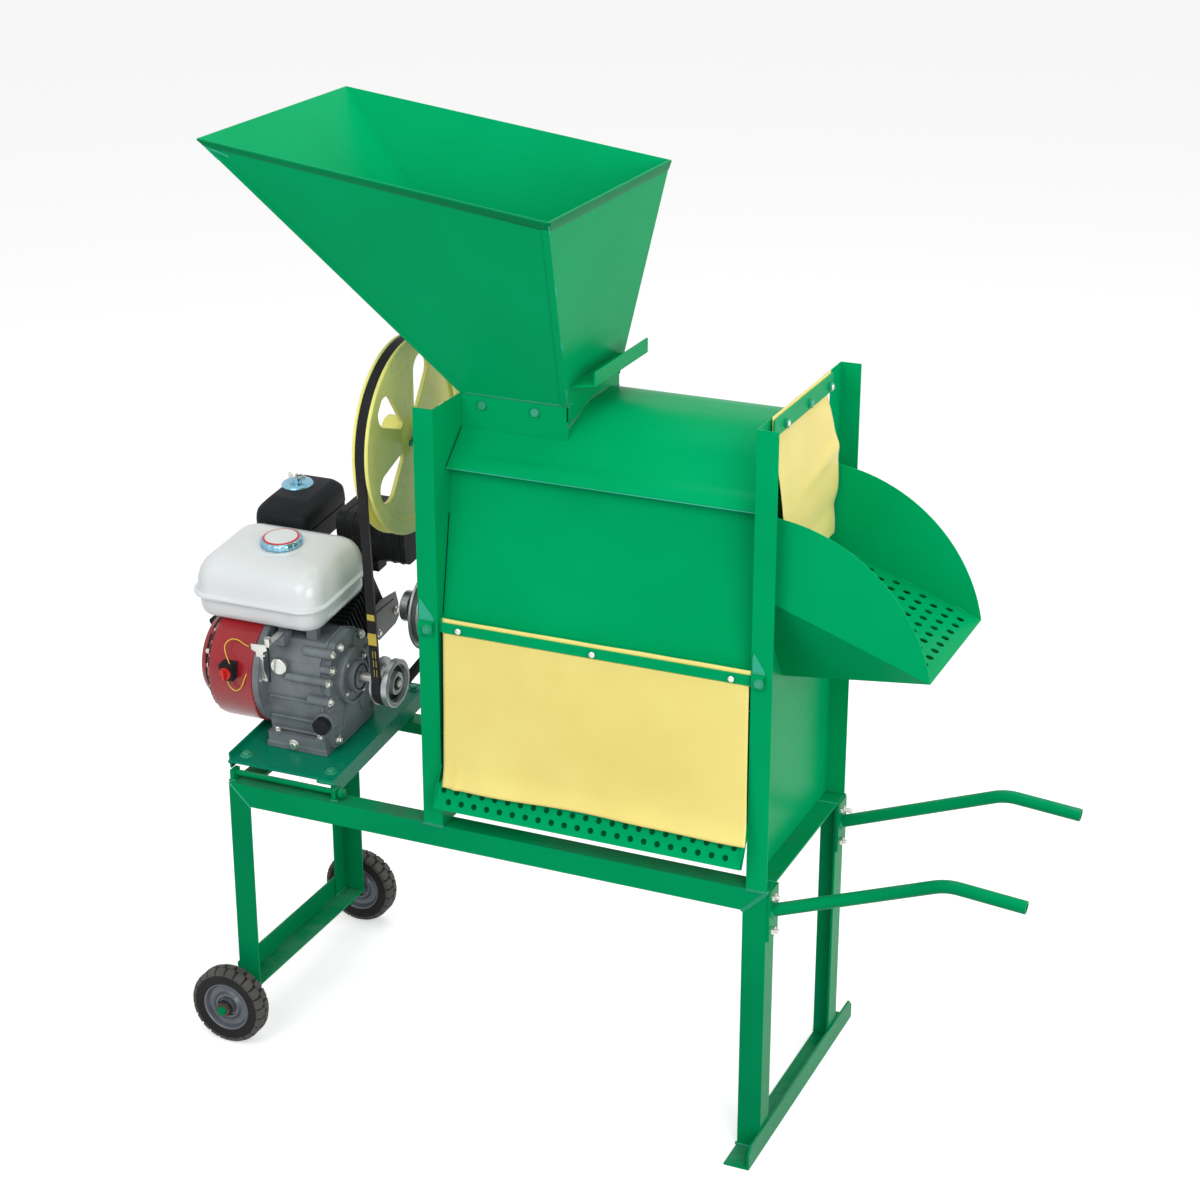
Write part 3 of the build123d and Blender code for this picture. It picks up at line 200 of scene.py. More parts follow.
@dataclass(frozen=True)
class Finish:
    """One finish: its colour, gloss and the marks that the surface carries.

    Attributes:
        name: The material's name.
        kind: The surface family.
        colour: Base colour, linear.
        second: The colour that patches drift to.
        rough: Mean roughness.
        metal: Metallic share.
        grain: Bump texture's scale, per metre.
        bump: Bump height in millimetres.
        wear: Share of scratches on faces that look up.
        rust: Share of rust spots on faces that look up.
        centre: A lathe centre in the row frame, for a turned finish.
        shine: The tint of the gloss that a face straight on shows.
        level: How strong that gloss is.
        dust: The colour of the grime on faces that look up.
    """

    name: str
    kind: Kind
    colour: Colour
    second: Colour
    rough: float = 0.35
    metal: float = 0.0
    grain: float = 260.0
    bump: float = 0.02
    wear: float = 0.0
    rust: float = 0.0
    centre: Point = (0.0, 0.0, 0.0)
    shine: Colour = (1.0, 1.0, 1.0)
    level: float = 0.5
    dust: Colour = (0.16, 0.30, 0.29)

    def material(self) -> bpy.types.Material:
        """Build the material, or find it if it is built.

        Returns:
            The material.
        """
        title = self.name + "_finish"
        found = bpy.data.materials.get(title)
        if found:
            return found
        material = bpy.data.materials.new(title)
        tree = blank(material)
        output = tree.add("ShaderNodeOutputMaterial")
        shader = tree.add("ShaderNodeBsdfPrincipled")
        shader.inputs["Metallic"].default_value = self.metal
        shader.inputs["Specular IOR Level"].default_value = self.level
        shader.inputs["Specular Tint"].default_value = (*self.shine, 1.0)
        place = tree.add("ShaderNodeTexCoord").outputs["Object"]
        builders = {Kind.ENAMEL: self.enamel, Kind.CAST: self.cast, Kind.TURNED: self.turned,
                    Kind.PLASTIC: self.plastic, Kind.RUBBER: self.plastic, Kind.CLOTH: self.cloth,
                    Kind.GLOSSY: self.glossy,}
        colour, rough, height, depth = builders[self.kind](tree, place)
        bump = tree.add("ShaderNodeBump", {"Height": height, "Distance": depth * MM, "Strength": 1.0})
        for socket, name in ((colour, "Base Color"), (rough, "Roughness"), (bump.outputs[0], "Normal")):
            tree.tree.links.new(socket, shader.inputs[name])
        if self.kind is Kind.CLOTH:
            shader.inputs["Sheen Weight"].default_value = 0.25
            shader.inputs["Sheen Roughness"].default_value = 0.5
        tree.tree.links.new(shader.outputs[0], output.inputs[0])
        return material

    def patches(self, tree: Tree, place: object, scale: float = 3.0) -> Socket:
        """Drift the base colour towards the second one in soft patches and return it."""
        cloud = tree.ramp(tree.noise(place, scale, 3.0), 0.35, 0.68)
        return tree.mix(cloud, self.colour, self.second)

    def upward(self, tree: Tree) -> Socket:
        """Return how far a face looks up, from the mesh's own normal."""
        normal = tree.add("ShaderNodeTexCoord").outputs["Normal"]
        height = tree.add("ShaderNodeSeparateXYZ", {0: normal}).outputs[2]
        return tree.ramp(height, 0.75, 0.97)

    def enamel(self, tree: Tree, place: object) -> tuple:
        """Brushed-out gloss enamel on steel, with scratches and rust where faces look up."""
        colour = self.patches(tree, place)
        peel = tree.noise(place, self.grain, 2.0)
        smear = tree.noise(tree.stretched(place, (7.0, 90.0, 90.0)), 1.0, 4.0)
        rough = tree.math("ADD", tree.math("MULTIPLY", smear, 0.22), self.rough - 0.11)
        up = self.upward(tree)
        if self.wear > 0:
            along = tree.noise(tree.stretched(place, (14.0, 420.0, 60.0), (0.0, 0.0, 0.35)), 1.0, 5.0, 0.7)
            across = tree.noise(tree.stretched(place, (380.0, 16.0, 60.0), (0.0, 0.0, 0.2)), 1.0, 5.0, 0.7)
            lines = tree.math("MAXIMUM", tree.ramp(along, 0.66, 0.74), tree.ramp(across, 0.69, 0.76))
            patch = tree.ramp(tree.noise(place, 9.0, 5.0, 0.65), 0.46, 0.70)
            amount = tree.math(
                "MULTIPLY", tree.math("MULTIPLY", lines, patch), tree.math("MULTIPLY", up, self.wear))
            colour = tree.mix(amount, colour, (0.30, 0.40, 0.38))
            dust = tree.math("MULTIPLY", tree.math("MULTIPLY", patch, up), min(0.9, 0.45 * self.wear))
            colour = tree.mix(dust, colour, self.dust)
            rough = tree.math("ADD", rough, tree.math("MULTIPLY", amount, 0.25))
        if self.rust > 0:
            spots = tree.ramp(tree.noise(place, 58.0, 6.0, 0.7), 0.66, 0.72)
            where = tree.ramp(tree.noise(place, 6.0, 2.0), 0.50, 0.60)
            amount = tree.math(
                "MULTIPLY", tree.math("MULTIPLY", spots, where), tree.math("MULTIPLY", up, self.rust))
            colour = tree.mix(amount, colour, (0.16, 0.09, 0.05))
        return colour, rough, peel, self.bump

    def cast(self, tree: Tree, place: object) -> tuple:
        """Sand-cast skin under metallic paint."""
        colour = self.patches(tree, place, 22.0)
        fine = tree.noise(place, self.grain, 5.0, 0.65)
        dirt = tree.ramp(tree.noise(place, 60.0, 5.0, 0.7), 0.58, 0.80)
        colour = tree.mix(tree.math("MULTIPLY", dirt, 0.35), colour, (0.10, 0.10, 0.10))
        rough = tree.math("ADD", tree.math("MULTIPLY", fine, 0.3), self.rough - 0.15)
        return colour, rough, fine, self.bump

    def turned(self, tree: Tree, place: object) -> tuple:
        """Lathe rings round the piece's own axis along X."""
        shifted = tree.add(
            "ShaderNodeVectorMath", {0: place, 1: self.centre}, operation="SUBTRACT").outputs[0]
        parts = tree.add("ShaderNodeSeparateXYZ", {0: shifted}).outputs
        flat = tree.add("ShaderNodeCombineXYZ", {0: 0.0, 1: parts[1], 2: parts[2]}).outputs[0]
        radius = tree.add("ShaderNodeVectorMath", {0: flat}, operation="LENGTH").outputs["Value"]
        along = tree.add("ShaderNodeCombineXYZ", {0: radius, 1: parts[0], 2: 0.0}).outputs[0]
        rings = tree.noise(along, self.grain * 8.0, 3.0, 0.6)
        colour = self.patches(tree, place, 30.0)
        rough = tree.math("ADD", tree.math("MULTIPLY", rings, 0.35), self.rough - 0.17)
        return colour, rough, rings, self.bump

    def plastic(self, tree: Tree, place: object) -> tuple:
        """Moulded plastic or rubber with a fine grain."""
        fine = tree.noise(place, self.grain, 3.0)
        colour = self.patches(tree, place, 14.0)
        rough = tree.math("ADD", tree.math("MULTIPLY", fine, 0.2), self.rough - 0.1)
        return colour, rough, fine, self.bump

    def cloth(self, tree: Tree, place: object) -> tuple:
        """Coated cloth: a plain weave pressed through the coat, soft blotches and faint scuffs."""
        colour = self.patches(tree, place, 5.0)
        woven = tree.add("ShaderNodeUVMap", uv_map="cloth").outputs[0]
        warp = tree.add("ShaderNodeTexWave", {"Vector": woven, "Scale": self.grain, "Distortion": 0.6},
                        wave_type="BANDS", bands_direction="X").outputs["Fac"]
        weft = tree.add("ShaderNodeTexWave", {"Vector": woven, "Scale": self.grain, "Distortion": 0.6},
                        wave_type="BANDS", bands_direction="Y").outputs["Fac"]
        weave = tree.math("MULTIPLY", warp, weft)
        grit = tree.noise(place, 90.0, 5.0, 0.65)
        colour = tree.mix(tree.math("MULTIPLY", tree.ramp(grit, 0.55, 0.8), 0.25), colour, self.second)
        height = tree.math("ADD", tree.math("MULTIPLY", weave, 0.5), tree.math("MULTIPLY", grit, 0.8))
        rough = tree.math("ADD", tree.math("MULTIPLY", grit, 0.2), self.rough - 0.1)
        return colour, rough, height, self.bump

    def glossy(self, tree: Tree, place: object) -> tuple:
        """Smooth paint or plating with barely any texture."""
        colour = self.patches(tree, place, 9.0)
        fine = tree.noise(place, self.grain, 2.0)
        rough = tree.math("ADD", tree.math("MULTIPLY", tree.noise(place, 18.0), 0.1), self.rough - 0.05)
        return colour, rough, fine, self.bump


def hub(joint_name: str) -> Point:
    """Give a joint's place as a lathe centre."""
    return tuple(joint(joint_name)["pos_m"])


def green(name: str, colour: Colour, second: Colour, rough: float, **marks: object) -> Finish:
    """Make one of the green enamels, which share one cool gloss.

    Args:
        name: The material's name.
        colour: Base colour, linear.
        second: The colour that patches drift to.
        rough: Mean roughness.
        **marks: The other fields of the finish.

    Returns:
        The finish.
    """
    return Finish(name, Kind.ENAMEL, colour, second, rough, shine=(0.12, 0.85, 1.0), **marks)


GREEN_FRAME = green("frame_enamel", (0.0, 0.270, 0.090), (0.0, 0.205, 0.070), 0.30,
                     grain=210.0, bump=0.05, wear=0.7, rust=0.8, level=0.05)
RAIL_GREEN = green("rail_enamel", (0.0, 0.300, 0.103), (0.0, 0.240, 0.082), 0.30,
                    grain=210.0, bump=0.05, wear=1.0, rust=1.0, level=0.05,
                    dust=(0.045, 0.085, 0.075))
DECK_GREEN = green("deck_enamel", (0.0, 0.235, 0.125), (0.0, 0.185, 0.100), 0.28,
                    grain=210.0, bump=0.05, wear=0.5, rust=0.6, level=0.15, dust=(0.02, 0.24, 0.19))
GREEN_SHEET = green("sheet_enamel", (0.0, 0.345, 0.118), (0.0, 0.305, 0.098), 0.33,
                     grain=170.0, bump=0.03, level=0.05)
# Painted shade: the hem enamel is the sheet enamel made darker, for the hem's lip that faces down and out.
HEM_PAINTED_SHADE = green("hem_painted_shade", (0.0, 0.215, 0.070), (0.0, 0.170, 0.055), 0.33,
                   grain=170.0, bump=0.03, level=0.05)
# Painted shade: a near-black green for the rods and the block that stand in for the shade in gaps and inner
# corners.
GAP_PAINTED_SHADE = green("gap_painted_shade", (0.0, 0.030, 0.014), (0.0, 0.020, 0.010), 0.6, bump=0.02, level=0.2)
GREEN_BOLT = green("bolt_enamel", (0.02, 0.27, 0.13), (0.06, 0.33, 0.20), 0.30, bump=0.02)
WELD_GREEN = green("weld_enamel", (0.01, 0.265, 0.115), (0.03, 0.20, 0.10), 0.34, bump=0.05)
# Painted highlight: a paler copy of the green enamel, for welds, gussets and the eave's edge where they catch
# the light.
WELD_PAINTED_HIGHLIGHT = green("weld_painted_highlight", (0.05, 0.42, 0.27), (0.02, 0.33, 0.17), 0.34, bump=0.04)
WELD_RUST = green("weld_rust", (0.02, 0.24, 0.11), (0.07, 0.17, 0.09), 0.45, bump=0.06)
YELLOW_IRON = Finish("pulley_enamel", Kind.CAST, (0.97, 0.92, 0.27), (0.88, 0.83, 0.22), 0.40,
                     grain=500.0, bump=0.05)
YELLOW_CLOTH = Finish("coated_cloth", Kind.CLOTH, (0.82, 0.70, 0.205), (0.76, 0.62, 0.165), 0.48,
                      grain=210.0, bump=0.05)
BELT_RUBBER = Finish(
    "belt_rubber", Kind.RUBBER, (0.014, 0.014, 0.016), (0.022, 0.022, 0.025), 0.5, bump=0.03, level=0.1)
BAND_YELLOW = Finish("belt_band", Kind.PLASTIC, (0.55, 0.42, 0.05), (0.30, 0.24, 0.04), 0.55, bump=0.02)
TYRE_RUBBER = Finish("tyre_rubber", Kind.RUBBER, (0.016, 0.016, 0.017), (0.028, 0.027, 0.026), 0.62,
                     grain=700.0, bump=0.04, level=0.1)
TREAD_RUBBER = Finish("tread_rubber", Kind.RUBBER, (0.050, 0.048, 0.045), (0.085, 0.080, 0.074), 0.8,
                      grain=500.0, bump=0.10)
RIM_GREY = Finish(
    "rim_enamel", Kind.GLOSSY, (0.125, 0.138, 0.162), (0.10, 0.112, 0.132), 0.32, metal=0.2, bump=0.02)
ZINC = Finish("zinc_plate", Kind.CAST, (0.66, 0.67, 0.64), (0.52, 0.52, 0.47), 0.32, metal=0.9, bump=0.02)
RUSTY = Finish("rusty_nut", Kind.CAST, (0.10, 0.050, 0.032), (0.030, 0.045, 0.030), 0.6, metal=0.3, bump=0.08)
SHAFT_STEEL = Finish("shaft_steel", Kind.TURNED, (0.52, 0.52, 0.51), (0.42, 0.41, 0.40), 0.32, metal=0.95,
                     bump=0.01, centre=hub("rotor_spin"))
PULLEY_STEEL = Finish("turned_iron", Kind.TURNED, (0.40, 0.41, 0.42), (0.30, 0.31, 0.32), 0.36, metal=0.9,
                      bump=0.02, centre=hub("crank_spin"))
FAN_STEEL = Finish("fan_iron", Kind.TURNED, (0.44, 0.45, 0.46), (0.34, 0.35, 0.36), 0.36, metal=0.9,
                   bump=0.02, centre=hub("fan_spin"))
ENGINE_CAST = Finish("engine_cast", Kind.CAST, (0.185, 0.212, 0.228), (0.120, 0.140, 0.154), 0.46,
                     metal=0.08, level=0.2, grain=520.0, bump=0.07)
TANK_WHITE = Finish("tank_enamel", Kind.GLOSSY, (0.75, 0.775, 0.79), (0.71, 0.735, 0.75), 0.2, bump=0.01)
SHROUD_RED = Finish("shroud_enamel", Kind.GLOSSY, (0.36, 0.012, 0.020), (0.28, 0.008, 0.014), 0.24, bump=0.02)
BLACK_PLASTIC = Finish("black_plastic", Kind.PLASTIC, (0.013, 0.014, 0.017), (0.018, 0.020, 0.024), 0.42,
                       grain=900.0, bump=0.03, level=0.06)
EXHAUST_BLACK = Finish("exhaust_black", Kind.CAST, (0.014, 0.015, 0.016), (0.022, 0.024, 0.025), 0.45,
                       grain=500.0, bump=0.04, level=0.08)
SHIELD_OLIVE = Finish(
    "shield_plate", Kind.CAST, (0.060, 0.070, 0.062), (0.040, 0.046, 0.042), 0.34, metal=0.6, bump=0.03)
# Painted reflection: the plating's teal is the green machine that it reflects, given as its base colour.
CHROME_PAINTED_REFLECTION = Finish(
    "cap_chrome", Kind.GLOSSY, (0.16, 0.40, 0.54), (0.30, 0.55, 0.68), 0.18, metal=0.85, bump=0.01)
SWITCH_RED = Finish("switch_red", Kind.PLASTIC, (0.62, 0.012, 0.008), (0.52, 0.01, 0.008), 0.32, bump=0.01)
WIRE_YELLOW = Finish("wire_yellow", Kind.PLASTIC, (0.80, 0.55, 0.03), (0.72, 0.48, 0.03), 0.35, bump=0.01)


# Meshes

def show(name: str, data: bpy.types.ID) -> Object:
    """Put a mesh, curve, lamp or camera in the scene and return its object."""
    obj = bpy.data.objects.new(name, data)
    bpy.context.scene.collection.objects.link(obj)
    return obj


def finished(name: str, mesh: bpy.types.Mesh, finish: Finish, smooth: float | None) -> Object:
    """Show a mesh with its finish and its shading.

    Args:
        name: The piece's name.
        mesh: The piece's mesh.
        finish: The piece's finish.
        smooth: Degrees below which edges shade smooth, or None for flat faces.

    Returns:
        The new object.
    """
    mesh.materials.append(finish.material())
    obj = show(name, mesh)
    shade(obj, smooth)
    return obj


def piece(name: str, points: list[Vector], faces: list[tuple[int, ...]], finish: Finish,
          smooth: float | None = 30.0) -> Object:
    """Make a mesh piece with its finish.

    Args:
        name: The piece's name.
        points: Corners in the row frame, in metres.
        faces: Faces as corner numbers.
        finish: The piece's finish.
        smooth: Degrees below which edges shade smooth, or None for flat faces.

    Returns:
        The new object, not riding on a body yet.
    """
    mesh = bpy.data.meshes.new(name)
    mesh.from_pydata([tuple(p) for p in points], [], faces)
    return finished(name, mesh, finish, smooth)


def shade(obj: Object, smooth: float | None) -> None:
    """Make faces point outwards and shade edges below an angle smooth.

    Args:
        obj: The mesh object.
        smooth: The angle in degrees, or None for flat faces.
    """
    edit = bmesh.new()
    edit.from_mesh(obj.data)
    bmesh.ops.recalc_face_normals(edit, faces=edit.faces)
    edit.to_mesh(obj.data)
    edit.free()
    if smooth is None:
        return
    obj.data.shade_smooth()
    obj.data.set_sharp_from_angle(angle=radians(smooth))


MERGED = 2e-5
FLAT = radians(0.5)


def dressed(node: str, finish: Finish, width: float = 0.8, angle: float = 28.0) -> Object:
    """Copy a CAD node, merge and round its edges, and let the copy stand for it.

    Args:
        node: The CAD node.
        finish: The copy's finish.
        width: Edge rounding in millimetres.
        angle: Edges sharper than this many degrees are rounded.

    Returns:
        The copy, riding on the node's body.
    """
    source = frame["nodes"][node]
    edit = bmesh.new()
    edit.from_mesh(source.data)
    bmesh.ops.remove_doubles(edit, verts=edit.verts, dist=MERGED)
    bmesh.ops.dissolve_limit(edit, angle_limit=FLAT, verts=edit.verts, edges=edit.edges)
    mesh = bpy.data.meshes.new(node + "_skin")
    points = [v.co.copy() for v in edit.verts]
    edit.verts.index_update()
    faces = [tuple(v.index for v in f.verts) for f in edit.faces]
    edit.free()
    mesh.from_pydata(points, [], faces)
    obj = finished(node + "_skin", mesh, finish, angle)
    if width > 0:
        round_edges(obj, width, angle)
    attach(obj, source["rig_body"])
    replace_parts(obj, node)
    slot_of(node)
    return obj


def round_edges(obj: Object, width: float, angle: float = 28.0) -> None:
    """Add a bevel of two faces to a piece's sharp edges, and harden its normals.

    Args:
        obj: The piece.
        width: The bevel's width in millimetres.
        angle: Edges sharper than this many degrees are rounded.
    """
    bevel = obj.modifiers.new("edges", "BEVEL")
    bevel.width = width * MM
    bevel.segments = 2
    bevel.limit_method = "ANGLE"
    bevel.angle_limit = radians(angle)
    bevel.use_clamp_overlap = True
    bevel.harden_normals = True


def kept(node: str, finish: Finish) -> None:
    """Leave a CAD node as it is and give it its finish."""
    obj = frame["nodes"][node]
    obj.data.materials.clear()
    obj.data.materials.append(finish.material())


def slot_of(node: str) -> str:
    """Find the material slot that the record gives a node."""
    return next(s["material_slot"] for s in frame["record"]["subparts"] if s["node"] == node)


# The camera, the floor and the light

@dataclass
class Studio:
    """The pale studio round the machine, and the photograph's camera."""

    camera_place: Point = (2160.9, -3331.5, 2394.6)
    look_down: float = 0.3835
    turn: float = 0.4146
    lens: float = 76.29
    sensor: float = 36.0
    floor_size: float = 30.0

    def build(self) -> None:
        """Make the camera, the floor, the lamps and the world."""
        self.camera()
        self.floor()
        self.lamps()
        self.world()
        bpy.context.scene.view_settings.view_transform = "Standard"

    def camera(self) -> None:
        """Set up the camera that was fitted to the photograph."""
        data = bpy.data.cameras.new("camera")
        data.sensor_width = self.sensor
        data.lens = self.lens
        data.clip_end = 100.0
        camera = show("camera", data)
        camera.location = at(*self.camera_place)
        camera.rotation_euler = (pi / 2 - self.look_down, 0.0, self.turn)
        bpy.context.scene.camera = camera

    def floor(self) -> None:
        """Make the pale floor, which shows white to the camera but keeps the shadow."""
        half = self.floor_size / 2
        mesh = bpy.data.meshes.new("floor")
        mesh.from_pydata(
            [(-half, -half, 0), (half, -half, 0), (half, half, 0), (-half, half, 0)], [], [(0, 1, 2, 3)])
        material = bpy.data.materials.new("floor_paper")
        tree = blank(material)
        output = tree.add("ShaderNodeOutputMaterial")
        paper = tree.add("ShaderNodeBsdfDiffuse", {"Color": (0.88, 0.88, 0.88, 1.0)})
        light = tree.add("ShaderNodeEmission", {"Color": (1.0, 1.0, 1.0, 1.0), "Strength": 0.42})
        both = tree.add("ShaderNodeAddShader", {0: paper.outputs[0], 1: light.outputs[0]})
        bounce = tree.add("ShaderNodeBsdfDiffuse", {"Color": (0.42, 0.42, 0.42, 1.0)})
        final = tree.add("ShaderNodeMixShader", {0: tree.seen(), 1: bounce.outputs[0], 2: both.outputs[0]})
        tree.tree.links.new(final.outputs[0], output.inputs[0])
        mesh.materials.append(material)
        show("floor", mesh)

    def lamps(self) -> None:
        """Place the soft lamps in front, beside and above."""
        places = (("key", (-0.9, -3.4, 3.4), 2.6, 52.0), ("front", (2.7, -2.8, 2.4), 2.6, 84.0),
                  ("side", (3.9, 0.5, 2.0), 2.4, 34.0), ("top", (0.2, 0.4, 4.2), 3.0, 44.0),)
        for name, place, size, power in places:
            data = bpy.data.lights.new(name, "AREA")
            data.shape = "DISK"
            data.size = size
            data.energy = power
            lamp = show(name, data)
            lamp.location = place
            aim = Vector((0.0, 0.0, 0.8)) - Vector(place)
            lamp.rotation_euler = aim.to_track_quat("-Z", "Y").to_euler()

    def world(self) -> None:
        """Make a white world at a plain level."""
        world = bpy.data.worlds.new("studio")
        tree = blank(world)
        output = tree.add("ShaderNodeOutputWorld")
        strength = tree.ramp(tree.seen(), 0.0, 1.0, 0.56, 1.0)
        light = tree.add("ShaderNodeBackground", {"Color": (1.0, 1.0, 1.0, 1.0), "Strength": strength})
        tree.tree.links.new(light.outputs[0], output.inputs[0])
        bpy.context.scene.world = world


# Shapes that several sub-assemblies use

def lathe(name: str, centre: Vector, axis: Vector, profile: list[Pair], finish: Finish,
          segments: int = 64, smooth: float = 30.0) -> Object:
    """Turn a profile round an axis.

    Args:
        name: The piece's name.
        centre: A place on the axis, in metres.
        axis: The axis's direction.
        profile: Pairs of distance along the axis and radius, in millimetres.
        finish: The piece's finish.
        segments: Steps round the axis.
        smooth: Degrees below which edges shade smooth.

    Returns:
        The turned piece.
    """
    turn = axis.normalized().to_track_quat("Z", "Y").to_matrix()
    edit = bmesh.new()
    rings = []
    for along, radius in profile:
        if radius < 1e-6:
            rings.append([edit.verts.new(centre + turn @ Vector((0.0, 0.0, along * MM)))])
            continue
        ring = []
        for step in range(segments):
            angle = 2 * pi * step / segments
            ring.append(edit.verts.new(centre + turn @ (Vector((radius * cos(angle), radius * sin(angle),
                                                                along)) * MM)))
        rings.append(ring)
    for low, high in zip(rings, rings[1:]):
        for step in range(segments):
            after = (step + 1) % segments
            if len(low) == 1 and len(high) == 1:
                continue
            if len(low) == 1:
                edit.faces.new((low[0], high[step], high[after]))
            elif len(high) == 1:
                edit.faces.new((low[step], low[after], high[0]))
            else:
                edit.faces.new((low[step], low[after], high[after], high[step]))
    mesh = bpy.data.meshes.new(name)
    edit.to_mesh(mesh)
    edit.free()
    return finished(name, mesh, finish, smooth)


def plate(name: str, outline: list[Vector], through: Vector, finish: Finish, rounding: float = 0.5) -> Object:
    """Give a flat outline a thickness and round its edges.

    Args:
        name: The piece's name.
        outline: Corners in order, in metres.
        through: The thickness as a vector, in metres.
        finish: The piece's finish.
        rounding: Edge rounding in millimetres.

    Returns:
        The plate.
    """
    count = len(outline)
    points = list(outline) + [p + through for p in outline]
    faces = [tuple(range(count)), tuple(range(2 * count - 1, count - 1, -1))]
    faces += [(k, (k + 1) % count, count + (k + 1) % count, count + k) for k in range(count)]
    obj = piece(name, points, faces, finish)
    if rounding > 0:
        round_edges(obj, rounding)
    return obj


def round_line(name: str, points: list[Vector], radius: float, steps: int, bent: bool) -> bpy.types.Curve:
    """Give a line through points a round section.

    Args:
        name: The curve's name.
        points: The points in metres.
        radius: The section's radius in metres.
        steps: How finely the section is divided.
        bent: Whether the line bends smoothly near the points, or runs straight from each to the next.

    Returns:
        The curve.
    """
    curve = bpy.data.curves.new(name, "CURVE")
    curve.dimensions = "3D"
    curve.bevel_depth = radius
    curve.bevel_resolution = steps
    curve.use_fill_caps = True
    curve.resolution_u = 12
    spline = curve.splines.new("NURBS" if bent else "POLY")
    spline.points.add(len(points) - 1)
    for spot, place in zip(spline.points, points):
        spot.co = (*place, 1.0)
    if bent:
        spline.order_u = 3
        spline.use_endpoint_u = True
    return curve


def rod(name: str, points: list[Vector], radius: float, finish: Finish, steps: int = 1) -> Object:
    """Run a round bar or bead straight from point to point.

    Args:
        name: The piece's name.
        points: The path in metres.
        radius: The bar's radius in millimetres.
        finish: The piece's finish.
        steps: How finely its section is divided.

    Returns:
        The bar as a mesh.
    """
    made = show(name + "_path", round_line(name, points, radius * MM, steps, False))
    mesh = bpy.data.meshes.new_from_object(made.evaluated_get(bpy.context.evaluated_depsgraph_get()))
    bpy.data.objects.remove(made)
    mesh.name = name
    mesh.materials.clear()
    return finished(name, mesh, finish, 40.0)


def joined(name: str, parts: list[Object]) -> Object:
    """Join finished pieces into one, with their modifiers applied.

    Args:
        name: The joined piece's name.
        parts: The pieces, which are used up.

    Returns:
        The one piece.
    """
    edit = bmesh.new()
    materials = []
    depsgraph = bpy.context.evaluated_depsgraph_get()
    for part in parts:
        mesh = bpy.data.meshes.new_from_object(part.evaluated_get(depsgraph))
        start = len(materials)
        materials.extend(mesh.materials)
        before = len(edit.faces)
        edit.from_mesh(mesh)
        edit.faces.ensure_lookup_table()
        for index in range(before, len(edit.faces)):
            edit.faces[index].material_index += start
        bpy.data.meshes.remove(mesh)
    unique = list(dict.fromkeys(materials))
    for face in edit.faces:
        face.material_index = unique.index(materials[face.material_index])
    mesh = bpy.data.meshes.new(name)
    edit.to_mesh(mesh)
    edit.free()
    for material in unique:
        mesh.materials.append(material)
    for part in parts:
        bpy.data.objects.remove(part)
    return show(name, mesh)


def placed(obj: Object, slot: str, body: str = "frame") -> Object:
    """Let a new piece ride on a body, and log it."""
    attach(obj, body)
    LOG.info("%s rides on %s", obj.name, body)
    return obj


